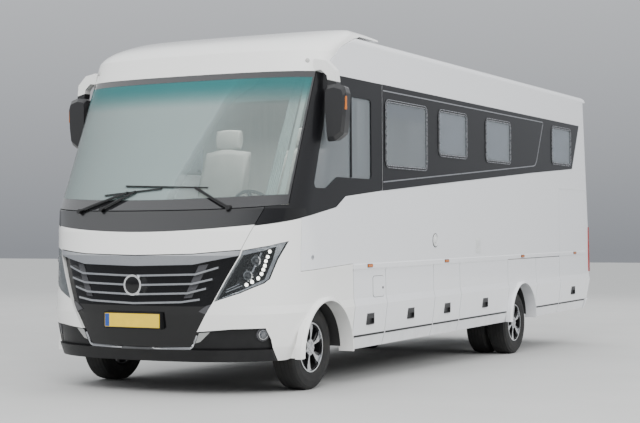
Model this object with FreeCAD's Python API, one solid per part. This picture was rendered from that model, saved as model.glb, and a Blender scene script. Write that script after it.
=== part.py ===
import FreeCAD, Part
import math
import os

os.makedirs("parts", exist_ok=True)
V = FreeCAD.Vector

# All lengths are millimetres. The coach is drawn with its body lines level: X towards its left side,
# Y towards its tail, Z up, with Y = 0 and Z = 0 on the ground below the front axle. At the end it is
# tilted nose-down by its rake and centred on the ground.

# Driving dimensions
WHEELBASE = 4860
RAKE = 1.13
BODY_HALF = 1180
WALL = 32
PANEL_GAP = 4
FLAP_GAP = 5
SEAT_GAP = 0.3
RUN_CLEAR = 0.06
TAIL_Y = WHEELBASE + 2740
FAR = 1400
LEFT_FIELD = (600, FAR)

# Outer body at each height: half width, foremost point, where the flat side starts, and the tail
BODY_STATIONS = [
    (290, BODY_HALF - 45, -990, -100, TAIL_Y - 150),
    (400, BODY_HALF - 15, -1030, -100, TAIL_Y - 70),
    (665, BODY_HALF + 18, -1065, -100, TAIL_Y - 5),
    (730, BODY_HALF + 4, -1068, -100, TAIL_Y),
    (985, BODY_HALF, -1055, -100, TAIL_Y - 4),
    (1130, BODY_HALF, -1045, -100, TAIL_Y - 12),
    (1320, BODY_HALF, -1000, -170, TAIL_Y - 24),
    (1500, BODY_HALF, -920, -250, TAIL_Y - 46),
    (2640, BODY_HALF, -250, 120, TAIL_Y - 188),
    (2820, BODY_HALF, -200, 200, TAIL_Y - 210),
    (2930, BODY_HALF, 50, 450, TAIL_Y - 224),
]
NOSE_FULLNESS = 0.62
CORNER_FULLNESS = 0.80
TAIL_CORNER_R = 110
SILL_Z = 290
BELT_Z = 980
WALL_TOP_Z = 2930
ROOF_TOP_Z = 3000
ROOF_CROWN = 14
ROOF_EDGE_R = 68
ROOF_THICK = 36

# Seams and openings on the body, given as (Y, Z) on the side and (X, Z) on the front
MASK_REAR_Y = 526
MASK_SIDE_Y = -380
CREASE_Z = (996, 1035)
RAIL_LEDGE = (984, 1030)
LEDGE_PROUD = 6
BAND_BOTTOM = [(-1020, 1315), (-745, 1369), (-375, 1426), (210, 1515), (390, 1610), (1137, 1673)]
SCREEN_BOTTOM = [(-940, 1487), (-776, 1507), (-384, 1548), (-300, 1560)]
SCREEN_TOP_Z = 2640
SCREEN_EDGE_X = BODY_HALF - 58
SCREEN_THICK = 8
CAB_SIDE_REAR_Y = 1137
CAB_SIDE_TOP_Z = 2630
BAND_THICK = 4
BAND_REAR_TOP = (TAIL_Y - 500, 2620)
BAND_REAR_LOW = (TAIL_Y - 800, 2062)
BAND_MID_LOW = (WHEELBASE + 390, 1964)
BAND_FRONT_LOW = (2140, 1746)
GRILLE_OUTLINE = [(BODY_HALF - 320, 1122), (BODY_HALF - 496, 761), (BODY_HALF - 628, 531),
                  (BODY_HALF - 710, 400)]
CAP_SEAM = [(0, SCREEN_TOP_Z), (92, 2671), (125, 2746), (330, 2880), (589, 2973),
            (760, ROOF_TOP_Z + ROOF_CROWN)]
CAP_TAIL_Y = 1150
CAP_TOP = [(2640, BODY_HALF, -250, 120), (2820, BODY_HALF - 6, -196, 200), (2900, BODY_HALF - 10, -90, 330),
           (2970, BODY_HALF - 22, 110, 480), (3030, BODY_HALF - 50, 370, 600), (3070, BODY_HALF - 120, 560, 700)]
ROOF_HATCHES = [(0, 1650, 680, 480), (0, 3300, 380, 380), (-300, 4600, 380, 380), (0, TAIL_Y - 1300, 480, 380)]
GRILLE_BARS = [(718, 1044, 542, 990), (676, 953, 518, 916), (630, 880, 482, 842), (583, 794, 431, 772)]
BAR_SET_BACK = 4
SURROUND_LAP = 5
CHROME_BAR_TOP = [(0, 1131), (BODY_HALF - 660, 1142), (BODY_HALF - 308, 1172)]
CHROME_BAR_LOW = [(0, 1047), (BODY_HALF - 657, 1059), (BODY_HALF - 320, 1128)]
LAMP_OUTLINE = [(BODY_HALF - 486, 768), (BODY_HALF - 308, 833), (BODY_HALF - 170, 906),
                (BODY_HALF - 140, 941), (BODY_HALF - 103, 1098), (BODY_HALF - 58, 1240),
                (BODY_HALF - 143, 1206), (BODY_HALF - 301, 1170), (BODY_HALF - 313, 1122)]
FLAP_SIDE_LOW = (BODY_HALF - 308, 1172)
FLAP_SIDE_TOP = (BODY_HALF - 180, 1498)
REAR_BUMPER_TOP = 420
TAIL_LAMP_Z = (760, 1330)
FOG_OUTLINE = [(BODY_HALF - 137, 200), (BODY_HALF - 137, 288), (BODY_HALF - 142, 463),
               (BODY_HALF - 163, 556), (BODY_HALF - 370, 553), (BODY_HALF - 628, 531)]
LIP_TOP_Z = 385
FOG_SET_BACK = 26
LAMP_DEPTH = 110
LAMP_WALL = 12
PROJECTORS = [(BODY_HALF - 282, 970), (BODY_HALF - 236, 1086)]
PROJECTOR_R = 46

# Lower side: locker flaps, arches and garage doors
REAR_ARCH_FRONT_Y = WHEELBASE - 440
REAR_ARCH_REAR_Y = WHEELBASE + 520
GARAGE_Y = (TAIL_Y - 1330, TAIL_Y - 250)
LOCKER_SPLITS = [MASK_REAR_Y, 1190, 2300, 2990, REAR_ARCH_FRONT_Y]
GARAGE_TOP_Z = 1810
RIGHT_LOCKERS = [(MASK_REAR_Y, 1500), (3300, REAR_ARCH_FRONT_Y)]
DOOR_Y = (2120, 2790)
DOOR_Z = (400, 2420)
DOOR_WINDOW_Y = (2270, 2640)
DOOR_WINDOW_Z = (1750, 2240)
FLAP_THICK = 26
HANDLE_Z = (490, 590)
HANDLE_LENGTH = 152
HANDLE_PROUD = 5
STEP_TRAVEL = 260
STEP_Z = 262
WIPERS = [([(-669, 1491, -200, 1641), (-417, 1504, -120, 1648)], (-438, 1620, 120, 1668)),
          ([(757, 1507, 430, 1674)], (-244, 1695, 535, 1669))]
HINGE_R = 4.2
DOOR_HINGE_X = BODY_HALF + 20
DOOR_HINGE_R = 7
DOOR_HINGE_Z = (760, 1500, 2240)
DOOR_HINGE_L = 90

MIRROR_OUTLINE = [(BODY_HALF + 45, 2050), (BODY_HALF + 120, 2056), (BODY_HALF + 196, 2110),
                  (BODY_HALF + 214, 2250), (BODY_HALF + 222, 2450), (BODY_HALF + 205, 2505),
                  (BODY_HALF + 120, 2532), (BODY_HALF + 35, 2520), (BODY_HALF + 25, 2450),
                  (BODY_HALF + 30, 2250)]
MIRROR_ARM = [(BODY_HALF - 80, 2645), (BODY_HALF - 80, 2745), (BODY_HALF + 40, 2722), (BODY_HALF + 120, 2640),
              (BODY_HALF + 135, 2500), (BODY_HALF + 60, 2500), (BODY_HALF + 45, 2600), (BODY_HALF - 10, 2650)]

# Windows as (Y low, Y high, Z low, Z high)
WINDOWS_LEFT = [(1180, 2150, 1880, 2505), (2430, 3200, 2035, 2505), (3730, 4520, 2030, 2506),
                (TAIL_Y - 1630, TAIL_Y - 860, 2090, 2560)]
WINDOWS_RIGHT = [(1180, 1960, 1880, 2505), (3120, 3990, 2035, 2505), (4200, 4870, 2030, 2506),
                 (TAIL_Y - 1630, TAIL_Y - 860, 2090, 2560)]
WINDOW_R = 70
SIDE_REAR_Y = TAIL_Y - 350
ROOF_REAR_Y = TAIL_Y - 226
FRAME_WIDTH = 28
FRAME_PROUD = 14
PANE_THICK = 5
CAB_WINDOW = [(-205, 1670), (30, 1672), (233, 1770), (905, 1770), (905, 2470), (75, 2470)]
CAB_WINDOW_R = 40

# Running gear
TYRE_R = 350
TYRE_W = 222
RIM_R = 207
BARREL_WALL = 9
FRONT_TYRE_X = BODY_HALF - 232
REAR_OUTER_X = BODY_HALF - 180
TWIN_PITCH = 258
KINGPIN_X = FRONT_TYRE_X - 76
KINGPIN_R = 16
KNUCKLE_FORK = 96
STEER_ARM = 130
BALL_X = KINGPIN_X
ARCH_FRONT = (0, 300, 440, 34)
ARCH_REAR = (WHEELBASE + 6, 296, 406, 26)
ARCH_LIP = 42
LIP_RETURN = 100
LIP_SHEET = 8
MASK_TOE = [(-600, 200), (-520, 284), (-441, 302), (-403, 345), (-386, 414), (-300, 414), (-300, 200)]
HOUSING_WALL = 6
FRONT_HOUSING_X = KINGPIN_X - 262
REAR_HOUSING_X = REAR_OUTER_X - TWIN_PITCH - TYRE_W / 2 - 35
SPINDLE_R = 24
BLADE = [(50, 17), (110, 14), (160, 14), (196, 18), (197, 40), (172, 32), (120, 27), (50, 32)]
SPRING_X = REAR_HOUSING_X - 76
RAIL_X = SPRING_X - 120
RAIL_W = 70
RAIL_Z = (620, 780)
RAIL_WALL = 7
RAIL_REAR_Y = WHEELBASE + 532
RAIL_LOW_Z = 310
TOW_Y = TAIL_Y - 300
CROSS_MEMBERS = (-850, 560, 1900, 3300, WHEELBASE - 660, WHEELBASE + 450)
SPRING_W = 70
SPRING_HALF = 490
SPRING_RISE = 90
LEAF_PACK = 44
EYE_PIN_R = 8
BEAM_H = 80
AXLE_NOSE = 270
ENGINE_REAR_Y = -110
SHAFT_Z = 640
AXLE_SLOT = (-80, 80, 300, 440)

# Rooms
FLOOR_Z = (940, 976)
GARAGE_FLOOR_Z = 420
GARAGE_ROOF_Z = 1880
TRAY_FLOOR_Z = 350
TRAY_WALL = 14
TRAY_BACK_X = RAIL_X + 172
GARAGE_SKIN = 24
SEAT_X = 430
PARTITION_Y = 1820
STEERING_LEAN = 52


def station(z):
    """Half width, nose, side start and tail of the body at height z."""
    low = BODY_STATIONS[0]
    for high in BODY_STATIONS[1:]:
        if z <= high[0]:
            break
        low = high
    share = (z - low[0]) / (high[0] - low[0])
    return [low[i] + share * (high[i] - low[i]) for i in range(1, 5)]


def body_section(z, inset=0):
    """Closed outline of the coach body at height z, drawn inwards by inset."""
    half, nose, side, tail = station(z)
    half = half - inset
    nose = nose + inset
    tail = tail - inset
    r = TAIL_CORNER_R - inset / 2
    corner = side - CORNER_FULLNESS * (side - nose)
    c = r * math.sqrt(0.5)
    edges = []
    for s in (1, -1):
        curve = Part.BezierCurve()
        points = [V(0, nose, z), V(s * NOSE_FULLNESS * half, nose, z), V(s * half, corner, z),
                  V(s * half, side, z)]
        curve.setPoles(points)
        flank = Part.LineSegment(V(s * half, side, z), V(s * half, tail - r, z))
        turn = Part.Arc(V(s * half, tail - r, z), V(s * (half - r + c), tail - r + c, z),
                        V(s * (half - r), tail, z))
        edges.append([curve.toShape(), flank.toShape(), turn.toShape()])
    back = Part.LineSegment(V(half - r, tail, z), V(r - half, tail, z)).toShape()
    return Part.Wire(edges[0] + [back] + edges[1][::-1])


def body_block(z0, z1, inset=0):
    """Solid of the whole body between two heights."""
    heights = [z0] + [s[0] for s in BODY_STATIONS if z0 < s[0] < z1] + [z1]
    return Part.makeLoft([body_section(z, inset) for z in heights], True, True)


def body_ring(z0, z1, thick, inset=0):
    """Wall of the body between two heights."""
    return body_block(z0, z1, inset).cut(body_block(z0, z1, inset + thick))


def box(x0, x1, y0, y1, z0, z1):
    return Part.makeBox(x1 - x0, y1 - y0, z1 - z0, V(x0, y0, z0))


WAYS = {"x": V(1, 0, 0), "y": V(0, 1, 0), "z": V(0, 0, 1)}


def across(a, b, level, axis):
    """Point of the plane that lies across an axis at a level."""
    return {"x": V(level, a, b), "y": V(a, level, b), "z": V(a, b, level)}[axis]


def prism(points, low, high, axis):
    """Polygon given in the plane across an axis, drawn out along that axis."""
    corners = [across(a, b, low, axis) for a, b in points]
    way = WAYS[axis]
    return Part.Face(Part.makePolygon(corners + corners[:1])).extrude(way * (high - low))


def rounded(points, radius, low, high, axis):
    """Like prism, with every corner rounded."""
    corners = [across(a, b, low, axis) for a, b in points]
    way = WAYS[axis]
    count = len(corners)
    starts, mids, ends = [], [], []
    for i in range(count):
        here = corners[i]
        back = (corners[i - 1] - here).normalize()
        ahead = (corners[(i + 1) % count] - here).normalize()
        half_turn = back.getAngle(ahead) / 2
        starts.append(here + back * (radius / math.tan(half_turn)))
        ends.append(here + ahead * (radius / math.tan(half_turn)))
        middle = (back + ahead).normalize()
        mids.append(here + middle * (radius / math.sin(half_turn) - radius))
    edges = []
    for i in range(count):
        edges.append(Part.Arc(starts[i], mids[i], ends[i]).toShape())
        edges.append(Part.LineSegment(ends[i], starts[(i + 1) % count]).toShape())
    return Part.Face(Part.Wire(edges)).extrude(way * (high - low))


def rectangle(a0, a1, b0, b1):
    return [(a0, b0), (a1, b0), (a1, b1), (a0, b1)]


def cyl_x(y, z, r, x0, x1):
    return Part.makeCylinder(r, x1 - x0, V(x0, y, z), V(1, 0, 0))


def cyl_z(x, y, r, z0, z1):
    return Part.makeCylinder(r, z1 - z0, V(x, y, z0), V(0, 0, 1))


def fuse(shapes):
    whole = shapes[0]
    for shape in shapes[1:]:
        whole = whole.fuse(shape)
    return whole.removeSplitter()


def cut(shape, tools):
    for tool in tools:
        shape = shape.cut(tool)
    return shape


def mirrored(shape):
    return shape.mirror(V(0, 0, 0), V(1, 0, 0))


def both(shape):
    return Part.makeCompound(shape.Solids + mirrored(shape).Solids)


def raked(shape):
    """Body pieces follow the nose-down rake about the ground below the front axle."""
    turned = shape.copy()
    turned.rotate(V(0, 0, 0), V(1, 0, 0), RAKE)
    return turned


def to_body(y, z):
    """Place in the body frame of a point given over level ground."""
    a = math.radians(RAKE)
    return y * math.cos(a) + z * math.sin(a), z * math.cos(a) - y * math.sin(a)


FRONT_HUB = to_body(0, TYRE_R)
REAR_HUB = to_body(WHEELBASE, TYRE_R)


def arch_cut(arch, x0=300):
    return cyl_x(arch[0], arch[1], arch[2], x0, FAR)


def arch_lip(arch, half_width):
    """Flared lip round a wheel arch with its return towards the wheel, open at the sill."""
    y, z, r, width = arch
    proud = half_width + ARCH_LIP
    outer = cyl_x(y, z, r + width, half_width - WALL, proud)
    rim = [e for e in outer.Edges if abs(e.BoundBox.XMax - proud) < 1 and e.BoundBox.XLength < 1]
    outer = outer.makeChamfer(width * 0.7, rim)
    outer = outer.fuse(cyl_x(y, z, r + LIP_SHEET, half_width - LIP_RETURN, half_width - WALL + 1))
    inner = cyl_x(y, z, r, half_width - LIP_RETURN - 1, proud + 1)
    keep = box(0, FAR, y - FAR, y + FAR, SILL_Z, FAR)
    return outer.cut(inner).common(keep)


def band_line(shift):
    return [(y, z + shift) for y, z in BAND_BOTTOM]


def cab_notch(gap):
    """Side view of the black panel round the cab window."""
    low = [p for p in band_line(gap) if p[0] > -800]
    points = low[:-1] + [(CAB_SIDE_REAR_Y - gap, BAND_BOTTOM[-1][1] + gap)]
    points = points + [(CAB_SIDE_REAR_Y - gap, CAB_SIDE_TOP_Z - gap), (0, CAB_SIDE_TOP_Z - gap),
                       (-20, SCREEN_TOP_Z - gap), (-800, SCREEN_TOP_Z - gap)]
    return prism([(-800, points[0][1])] + points, LEFT_FIELD[0], LEFT_FIELD[1], "x")


def cap_section(row, inset):
    z, half, nose, side = row
    half = half - inset
    nose = nose + inset
    corner = side - CORNER_FULLNESS * (side - nose)
    edges = []
    for s in (1, -1):
        curve = Part.BezierCurve()
        curve.setPoles([V(0, nose, z), V(s * NOSE_FULLNESS * half, nose, z), V(s * half, corner, z),
                        V(s * half, side, z)])
        flank = Part.LineSegment(V(s * half, side, z), V(s * half, CAP_TAIL_Y, z)).toShape()
        edges.append([curve.toShape(), flank])
    back = Part.LineSegment(V(half, CAP_TAIL_Y, z), V(-half, CAP_TAIL_Y, z)).toShape()
    return Part.Wire(edges[0] + [back] + edges[1][::-1])


def cap_region(gap):
    """Everything ahead of and above the seam between the front cap and the body."""
    seam = [(y - gap, z + gap) for y, z in CAP_SEAM]
    points = [(-600, SCREEN_TOP_Z)] + seam + [(CAP_TAIL_Y + 50, seam[-1][1]), (CAP_TAIL_Y + 50, 3300), (-600, 3300)]
    return prism(points, -FAR, FAR, "x")


def cap_block(inset, drop=0):
    """Solid of the front cap, crisp along its crease and smooth above it."""
    rows = CAP_TOP[:-1] + [(CAP_TOP[-1][0] - drop,) + CAP_TOP[-1][1:]]
    lower = Part.makeLoft([cap_section(row, inset) for row in rows[:2]], True, True)
    upper = Part.makeLoft([cap_section(row, inset) for row in rows[1:]], True, False)
    return lower.fuse(upper)


def front_cap():
    outer = cap_block(0)
    inner = cap_block(WALL, WALL)
    slope = prism([(640, 3300), (640, 3074), (CAP_TAIL_Y + 60, 3026), (CAP_TAIL_Y + 60, 3300)], -FAR, FAR, "x")
    hollow = inner.cut(box(-FAR, FAR, 560, CAP_TAIL_Y + 100, 2500, 3300))
    return outer.cut(hollow).common(cap_region(PANEL_GAP / 2)).cut(slope)


def fog_field(gap):
    """Front view of the black lower field with the fog lamps."""
    right = [(x - gap, z - gap) for x, z in FOG_OUTLINE]
    return prism(right + [(-x, z) for x, z in right[::-1]], -1300, -400, "y")


def front_mask(shell):
    """White front moulding with the wings, headlamp holes and front arches."""
    rear_y = MASK_REAR_Y - FLAP_GAP
    side = [(-1300, SILL_Z), (rear_y, SILL_Z), (rear_y, CREASE_Z[1] - PANEL_GAP),
            (MASK_SIDE_Y - PANEL_GAP, CREASE_Z[0] - PANEL_GAP),
            (MASK_SIDE_Y - PANEL_GAP, BAND_BOTTOM[2][1] - PANEL_GAP)]
    top = [(y, z - PANEL_GAP) for y, z in BAND_BOTTOM[1::-1]]
    region = prism(side + top + [(-1300, BAND_BOTTOM[0][1] - PANEL_GAP)], -FAR, FAR, "x")
    body = shell.common(region)
    lamps = prism(LAMP_OUTLINE, -1300, -300, "y")
    body = cut(body, [front_field(GRILLE_OUTLINE, 0), flap_field(0), fog_field(0), lamps, mirrored(lamps)])
    arch = arch_cut(ARCH_FRONT)
    lip = arch_lip(ARCH_FRONT, BODY_HALF)
    body = fuse([cut(body, [arch, mirrored(arch)]), lip, mirrored(lip)])
    return body.cut(prism(MASK_TOE, -FAR, FAR, "x"))


def front_field(side_points, gap):
    """Centre field of the front, from the chrome bar down to the lip."""
    right = [(x - gap, z) for x, z in side_points]
    points = right[::-1] + [(x - gap, z - gap) for x, z in CHROME_BAR_TOP[:0:-1]]
    left = [(-x, z) for x, z in points[::-1]]
    return prism(points + left, -1300, -400, "y")


def flap_field(gap):
    low = [(FLAP_SIDE_LOW[0] - gap, FLAP_SIDE_LOW[1] + gap), (CHROME_BAR_TOP[1][0], CHROME_BAR_TOP[1][1] + gap),
           (0, CHROME_BAR_TOP[0][1] + gap)]
    right = [(0, 1600), (FLAP_SIDE_TOP[0] - gap, 1600), (FLAP_SIDE_TOP[0] - gap, FLAP_SIDE_TOP[1])] + low
    half = prism(right, -1300, -400, "y")
    return half.fuse(mirrored(half))


def screen_region(gap):
    """Side view of the windscreen."""
    low = [(y, z + gap) for y, z in SCREEN_BOTTOM]
    return prism([(-1300, low[0][1])] + low + [(400, low[-1][1]), (400, SCREEN_TOP_Z - gap), (-1300, SCREEN_TOP_Z - gap)],
                 -FAR, FAR, "x")


def windscreen():
    glass = body_ring(1400, SCREEN_TOP_Z, SCREEN_THICK)
    edge = SCREEN_EDGE_X - PANEL_GAP / 2
    return glass.common(screen_region(PANEL_GAP / 2)).common(box(-edge, edge, -1300, 400, 1300, 2700))


def service_flap(shell):
    """Front flap under the windscreen, with the black band in its upper half."""
    low = [(-1300, 1100), (0, 1100)]
    top = [(y, z - FLAP_GAP) for y, z in SCREEN_BOTTOM[::-1]]
    region = prism(low + top + [(-1300, top[-1][1])], -FAR, FAR, "x")
    return shell.common(region).common(flap_field(PANEL_GAP))


def cab_side(shell):
    """Black panel round the cab window, with the pillar beside the windscreen."""
    notch = cab_notch(PANEL_GAP / 2)
    panel = shell.common(notch)
    keep = box(SCREEN_EDGE_X + PANEL_GAP / 2, FAR, -1300, 2000, 1300, 2700)
    low_band = prism([(-1300, 1300), (-300, 1300), (-300, SCREEN_BOTTOM[2][1] - PANEL_GAP / 2),
                      (-384, SCREEN_BOTTOM[2][1] - PANEL_GAP / 2), (-776, SCREEN_BOTTOM[1][1] - PANEL_GAP / 2),
                      (-1300, SCREEN_BOTTOM[0][1])], 850, FAR, "x")
    low_band = low_band.cut(flap_field(0))
    panel = panel.common(keep.fuse(low_band))
    window = rounded(CAB_WINDOW, CAB_WINDOW_R, LEFT_FIELD[0], LEFT_FIELD[1], "x")
    return panel.cut(window)


def cab_glass():
    ring = body_ring(1500, 2600, PANE_THICK, 10)
    ring = ring.common(box(SCREEN_EDGE_X - 60, FAR, -600, 1200, 1500, 2600))
    shrunk = [(-205 + 1, 1671), (30, 1673), (233, 1771), (904, 1771), (904, 2469), (75, 2469)]
    return ring.common(rounded(shrunk, CAB_WINDOW_R - 1, LEFT_FIELD[0], LEFT_FIELD[1], "x"))


def side_wall(shell, windows, openings):
    """Side wall above the belt, with window and door holes."""
    region = box(LEFT_FIELD[0], FAR, MASK_SIDE_Y, SIDE_REAR_Y, BELT_Z + PANEL_GAP, WALL_TOP_Z)
    panel = shell.common(region).cut(cab_notch(0)).cut(cap_region(0))
    low_front = prism([(MASK_SIDE_Y, 0), (MASK_REAR_Y, 0), (MASK_REAR_Y, CREASE_Z[1]),
                       (MASK_SIDE_Y, CREASE_Z[0])], LEFT_FIELD[0], FAR, "x")
    panel = fuse([panel.cut(low_front), belt_ledge(MASK_REAR_Y, GARAGE_Y[0])])
    return cut(panel, [window_hole(w, 0) for w in windows] + openings)


def belt_ledge(y0, y1):
    """Raised belt rail along the side, bevelled at the top."""
    z0, z1 = RAIL_LEDGE
    proud = BODY_HALF + LEDGE_PROUD
    points = [(BODY_HALF - 2, z0), (proud, z0), (proud, z1 - 8), (BODY_HALF, z1), (BODY_HALF - 2, z1)]
    return prism(points, y0, y1, "y")


def window_hole(window, grow):
    y0, y1, z0, z1 = window
    return rounded(rectangle(y0 - grow, y1 + grow, z0 - grow, z1 + grow), WINDOW_R + grow,
                   LEFT_FIELD[0], FAR, "x")


def window_band(windows, openings):
    """Black band let on to the side wall behind the cab."""
    y0 = CAB_SIDE_REAR_Y + PANEL_GAP / 2
    points = [(y0, BAND_BOTTOM[-1][1]), BAND_FRONT_LOW, BAND_MID_LOW, BAND_REAR_LOW, BAND_REAR_TOP,
              (y0, CAB_SIDE_TOP_Z)]
    plate = prism(points, BODY_HALF, BODY_HALF + BAND_THICK, "x")
    return cut(plate, [window_hole(w, SEAT_GAP) for w in windows] + openings)


def window_frame(window):
    """Frame with two rounded beads and a groove between them."""
    ring = window_hole(window, -1).cut(window_hole(window, -FRAME_WIDTH))
    groove = window_hole(window, -8).cut(window_hole(window, -20))
    groove = groove.common(box(BODY_HALF + 5, FAR, -FAR, 9000, 0, 3000))
    return ring.common(box(BODY_HALF - WALL, BODY_HALF + FRAME_PROUD, -FAR, 9000, 0, 3000)).cut(groove)


def window_pane(window):
    plate = window_hole(window, -FRAME_WIDTH - SEAT_GAP)
    return plate.common(box(BODY_HALF + 2, BODY_HALF + 2 + PANE_THICK, -FAR, 9000, 0, 3000))


def roof():
    """Sandwich roof with round side edges and a shallow crown."""
    half = BODY_HALF
    r = ROOF_EDGE_R
    c = r * math.sqrt(0.5)
    low = WALL_TOP_Z + SEAT_GAP
    edge_z = ROOF_TOP_Z - r
    y0, y1 = 300, ROOF_REAR_Y
    outline = [Part.LineSegment(V(half, y0, low), V(half, y0, edge_z)).toShape(),
               Part.Arc(V(half, y0, edge_z), V(half - r + c, y0, edge_z + c), V(half - r, y0, ROOF_TOP_Z)).toShape(),
               Part.Arc(V(half - r, y0, ROOF_TOP_Z), V(0, y0, ROOF_TOP_Z + ROOF_CROWN),
                        V(r - half, y0, ROOF_TOP_Z)).toShape(),
               Part.Arc(V(r - half, y0, ROOF_TOP_Z), V(r - half - c, y0, edge_z + c), V(-half, y0, edge_z)).toShape(),
               Part.LineSegment(V(-half, y0, edge_z), V(-half, y0, low)).toShape(),
               Part.LineSegment(V(-half, y0, low), V(half, y0, low)).toShape()]
    slab = Part.Face(Part.Wire(outline)).extrude(V(0, y1 - y0, 0))
    inner = box(WALL - half, half - WALL, y0 - 1, y1 - WALL - 40, low - 1, ROOF_TOP_Z - ROOF_THICK)
    slab = slab.cut(inner).cut(cap_region(0))
    hatches = [box(x - a / 2, x + a / 2, y - b / 2, y + b / 2, low, 3100) for x, y, a, b in ROOF_HATCHES]
    tail = prism([(y1 - 54, 3100), (y1 + 14, low - 20), (TAIL_Y, low - 20), (TAIL_Y, 3100)], -FAR, FAR, "x")
    return cut(slab, hatches + [tail])


def roof_lights():
    lights = []
    for x, y, a, b in ROOF_HATCHES:
        base = box(x - a / 2 + SEAT_GAP, x + a / 2 - SEAT_GAP, y - b / 2 + SEAT_GAP, y + b / 2 - SEAT_GAP, 2960, 3016)
        brim = rounded(rectangle(x - a / 2 - 40, x + a / 2 + 40, y - b / 2 - 40, y + b / 2 + 40), 60, 3016, 3052, "z")
        top = rounded(rectangle(x - a / 2 - 10, x + a / 2 + 10, y - b / 2 - 10, y + b / 2 + 10), 60, 3052, 3080, "z")
        lights.append(fuse([base, brim, top]))
    return Part.makeCompound(lights)


def rear_wall(shell):
    region = box(-FAR, FAR, SIDE_REAR_Y + PANEL_GAP / 2, TAIL_Y + 100, REAR_BUMPER_TOP + SEAT_GAP, WALL_TOP_Z)
    return cut(shell.common(region), [garage_field(0), mirrored(garage_field(0))])


def garage_field(gap):
    return box(LEFT_FIELD[0], FAR, GARAGE_Y[0] + gap, GARAGE_Y[1] - gap, SILL_Z - 10, GARAGE_TOP_Z + PANEL_GAP)


def handle(y, half_width):
    """Rim of a recessed handle with the grip bar across its upper half."""
    y0, y1 = y - HANDLE_LENGTH / 2, y + HANDLE_LENGTH / 2
    z0, z1 = HANDLE_Z
    return rounded(rectangle(y0, y1, z0, z1), 18, half_width - FLAP_THICK, half_width + HANDLE_PROUD, "x")


def handle_hollow(y, half_width):
    y0, y1 = y - HANDLE_LENGTH / 2 + 9, y + HANDLE_LENGTH / 2 - 9
    z0, z1 = HANDLE_Z[0] + 9, HANDLE_Z[1] - 46
    return rounded(rectangle(y0, y1, z0, z1), 14, half_width - 14, half_width + HANDLE_PROUD + 1, "x")


def flap_hinge(y0, y1, z):
    """Hinge tube along the top edge of a flap, with the leaf that joins it to the flap."""
    x, mid = BODY_HALF + 2, z - (FLAP_GAP - PANEL_GAP) / 2
    tube = Part.makeCylinder(HINGE_R, y1 - y0, V(x, y0, mid), V(0, 1, 0))
    return tube.fuse(box(x - 8, x, y0, y1, z - FLAP_GAP - 10, mid))


def hung_panel(shell, y0, y1, z1, gap):
    """Lower side flap with its handle, hung from its top edge."""
    region = box(LEFT_FIELD[0], FAR, y0 + gap, y1 - gap, SILL_Z, z1 - gap)
    panel = shell.common(region)
    middle = (y0 + y1) / 2
    half, _, _, _ = station((HANDLE_Z[0] + HANDLE_Z[1]) / 2)
    pieces = [panel, handle(middle, half), flap_hinge(y0 + gap, y1 - gap, z1)]
    if z1 > RAIL_LEDGE[1]:
        pieces.append(belt_ledge(y0 + gap, y1 - gap))
    return fuse(pieces).cut(handle_hollow(middle, half))


def skirt_pieces(shell, spans):
    """Fixed lower panels with the rear arch."""
    lip = arch_lip(ARCH_REAR, BODY_HALF)
    pieces = []
    for y0, y1 in spans:
        region = box(LEFT_FIELD[0], FAR, y0 + FLAP_GAP, y1 - FLAP_GAP, SILL_Z, BELT_Z - PANEL_GAP)
        piece = shell.common(region)
        if y0 < ARCH_REAR[0] < y1:
            piece = fuse([piece.cut(arch_cut(ARCH_REAR)), lip])
        pieces.append(piece)
    return Part.makeCompound([s for piece in pieces for s in piece.Solids])


def entry_door(shell):
    y0, y1 = DOOR_Y
    region = box(LEFT_FIELD[0], FAR, y0 + FLAP_GAP, y1 - FLAP_GAP, DOOR_Z[0] + FLAP_GAP, DOOR_Z[1] - FLAP_GAP)
    window = DOOR_WINDOW_Y + DOOR_WINDOW_Z
    leaf = shell.common(region).cut(window_hole(window, 0))
    grip = rounded(rectangle(y1 - 130, y1 - 50, 1150, 1290), 18, BODY_HALF - 10, BODY_HALF + 12, "x")
    barrels = []
    for z in DOOR_HINGE_Z:
        z0, z1 = z - DOOR_HINGE_L / 2, z + DOOR_HINGE_L / 2
        barrels.append(cyl_z(DOOR_HINGE_X, y0 - 2, DOOR_HINGE_R, z0, z1))
        barrels.append(box(DOOR_HINGE_X - 14, DOOR_HINGE_X + 6, y0 - 2, y0 + 30, z0, z1))
        barrels.append(box(BODY_HALF - 2, DOOR_HINGE_X + 6, y0 + 10, y0 + 30, z0, z1))
    return mirrored(fuse([leaf, grip] + barrels))


def door_brackets(grow=0):
    """Blocks on the side wall that the barrels of the entry door turn in front of."""
    y = DOOR_Y[0]
    reach = DOOR_HINGE_X - DOOR_HINGE_R - SEAT_GAP
    half = DOOR_HINGE_L / 2 + grow
    return [box(BODY_HALF - 1, reach, y - 14 - grow, y - 2 - SEAT_GAP, z - half, z + half)
            for z in DOOR_HINGE_Z[1:]]


def front_axle():
    """Beam with a boss for each kingpin, made over level ground."""
    y, z = 0, TYRE_R
    boss = cyl_z(KINGPIN_X, y, 40, z - KNUCKLE_FORK / 2 + 1, z + KNUCKLE_FORK / 2 - 1)
    bore = cyl_z(KINGPIN_X, y, KINGPIN_R + RUN_CLEAR, z - 100, z + 100)
    end = prism([(-45, z - 34), (45, z - 34), (45, z + 34), (-45, z + 34)], 640, KINGPIN_X, "x")
    drop = prism([(360, z + BEAM_H / 2 - 70), (640, z - 34), (640, z + 34), (360, z + BEAM_H / 2)], -45, 45, "y")
    middle = box(0, 360, -45, 45, z - 30, z + BEAM_H / 2)
    half = fuse([middle, drop, end, boss]).cut(bore)
    beam = fuse([half, mirrored(half)])
    pads = raked(both(spring_pad(FRONT_HUB)))
    return fuse([beam] + pads.Solids)


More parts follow.
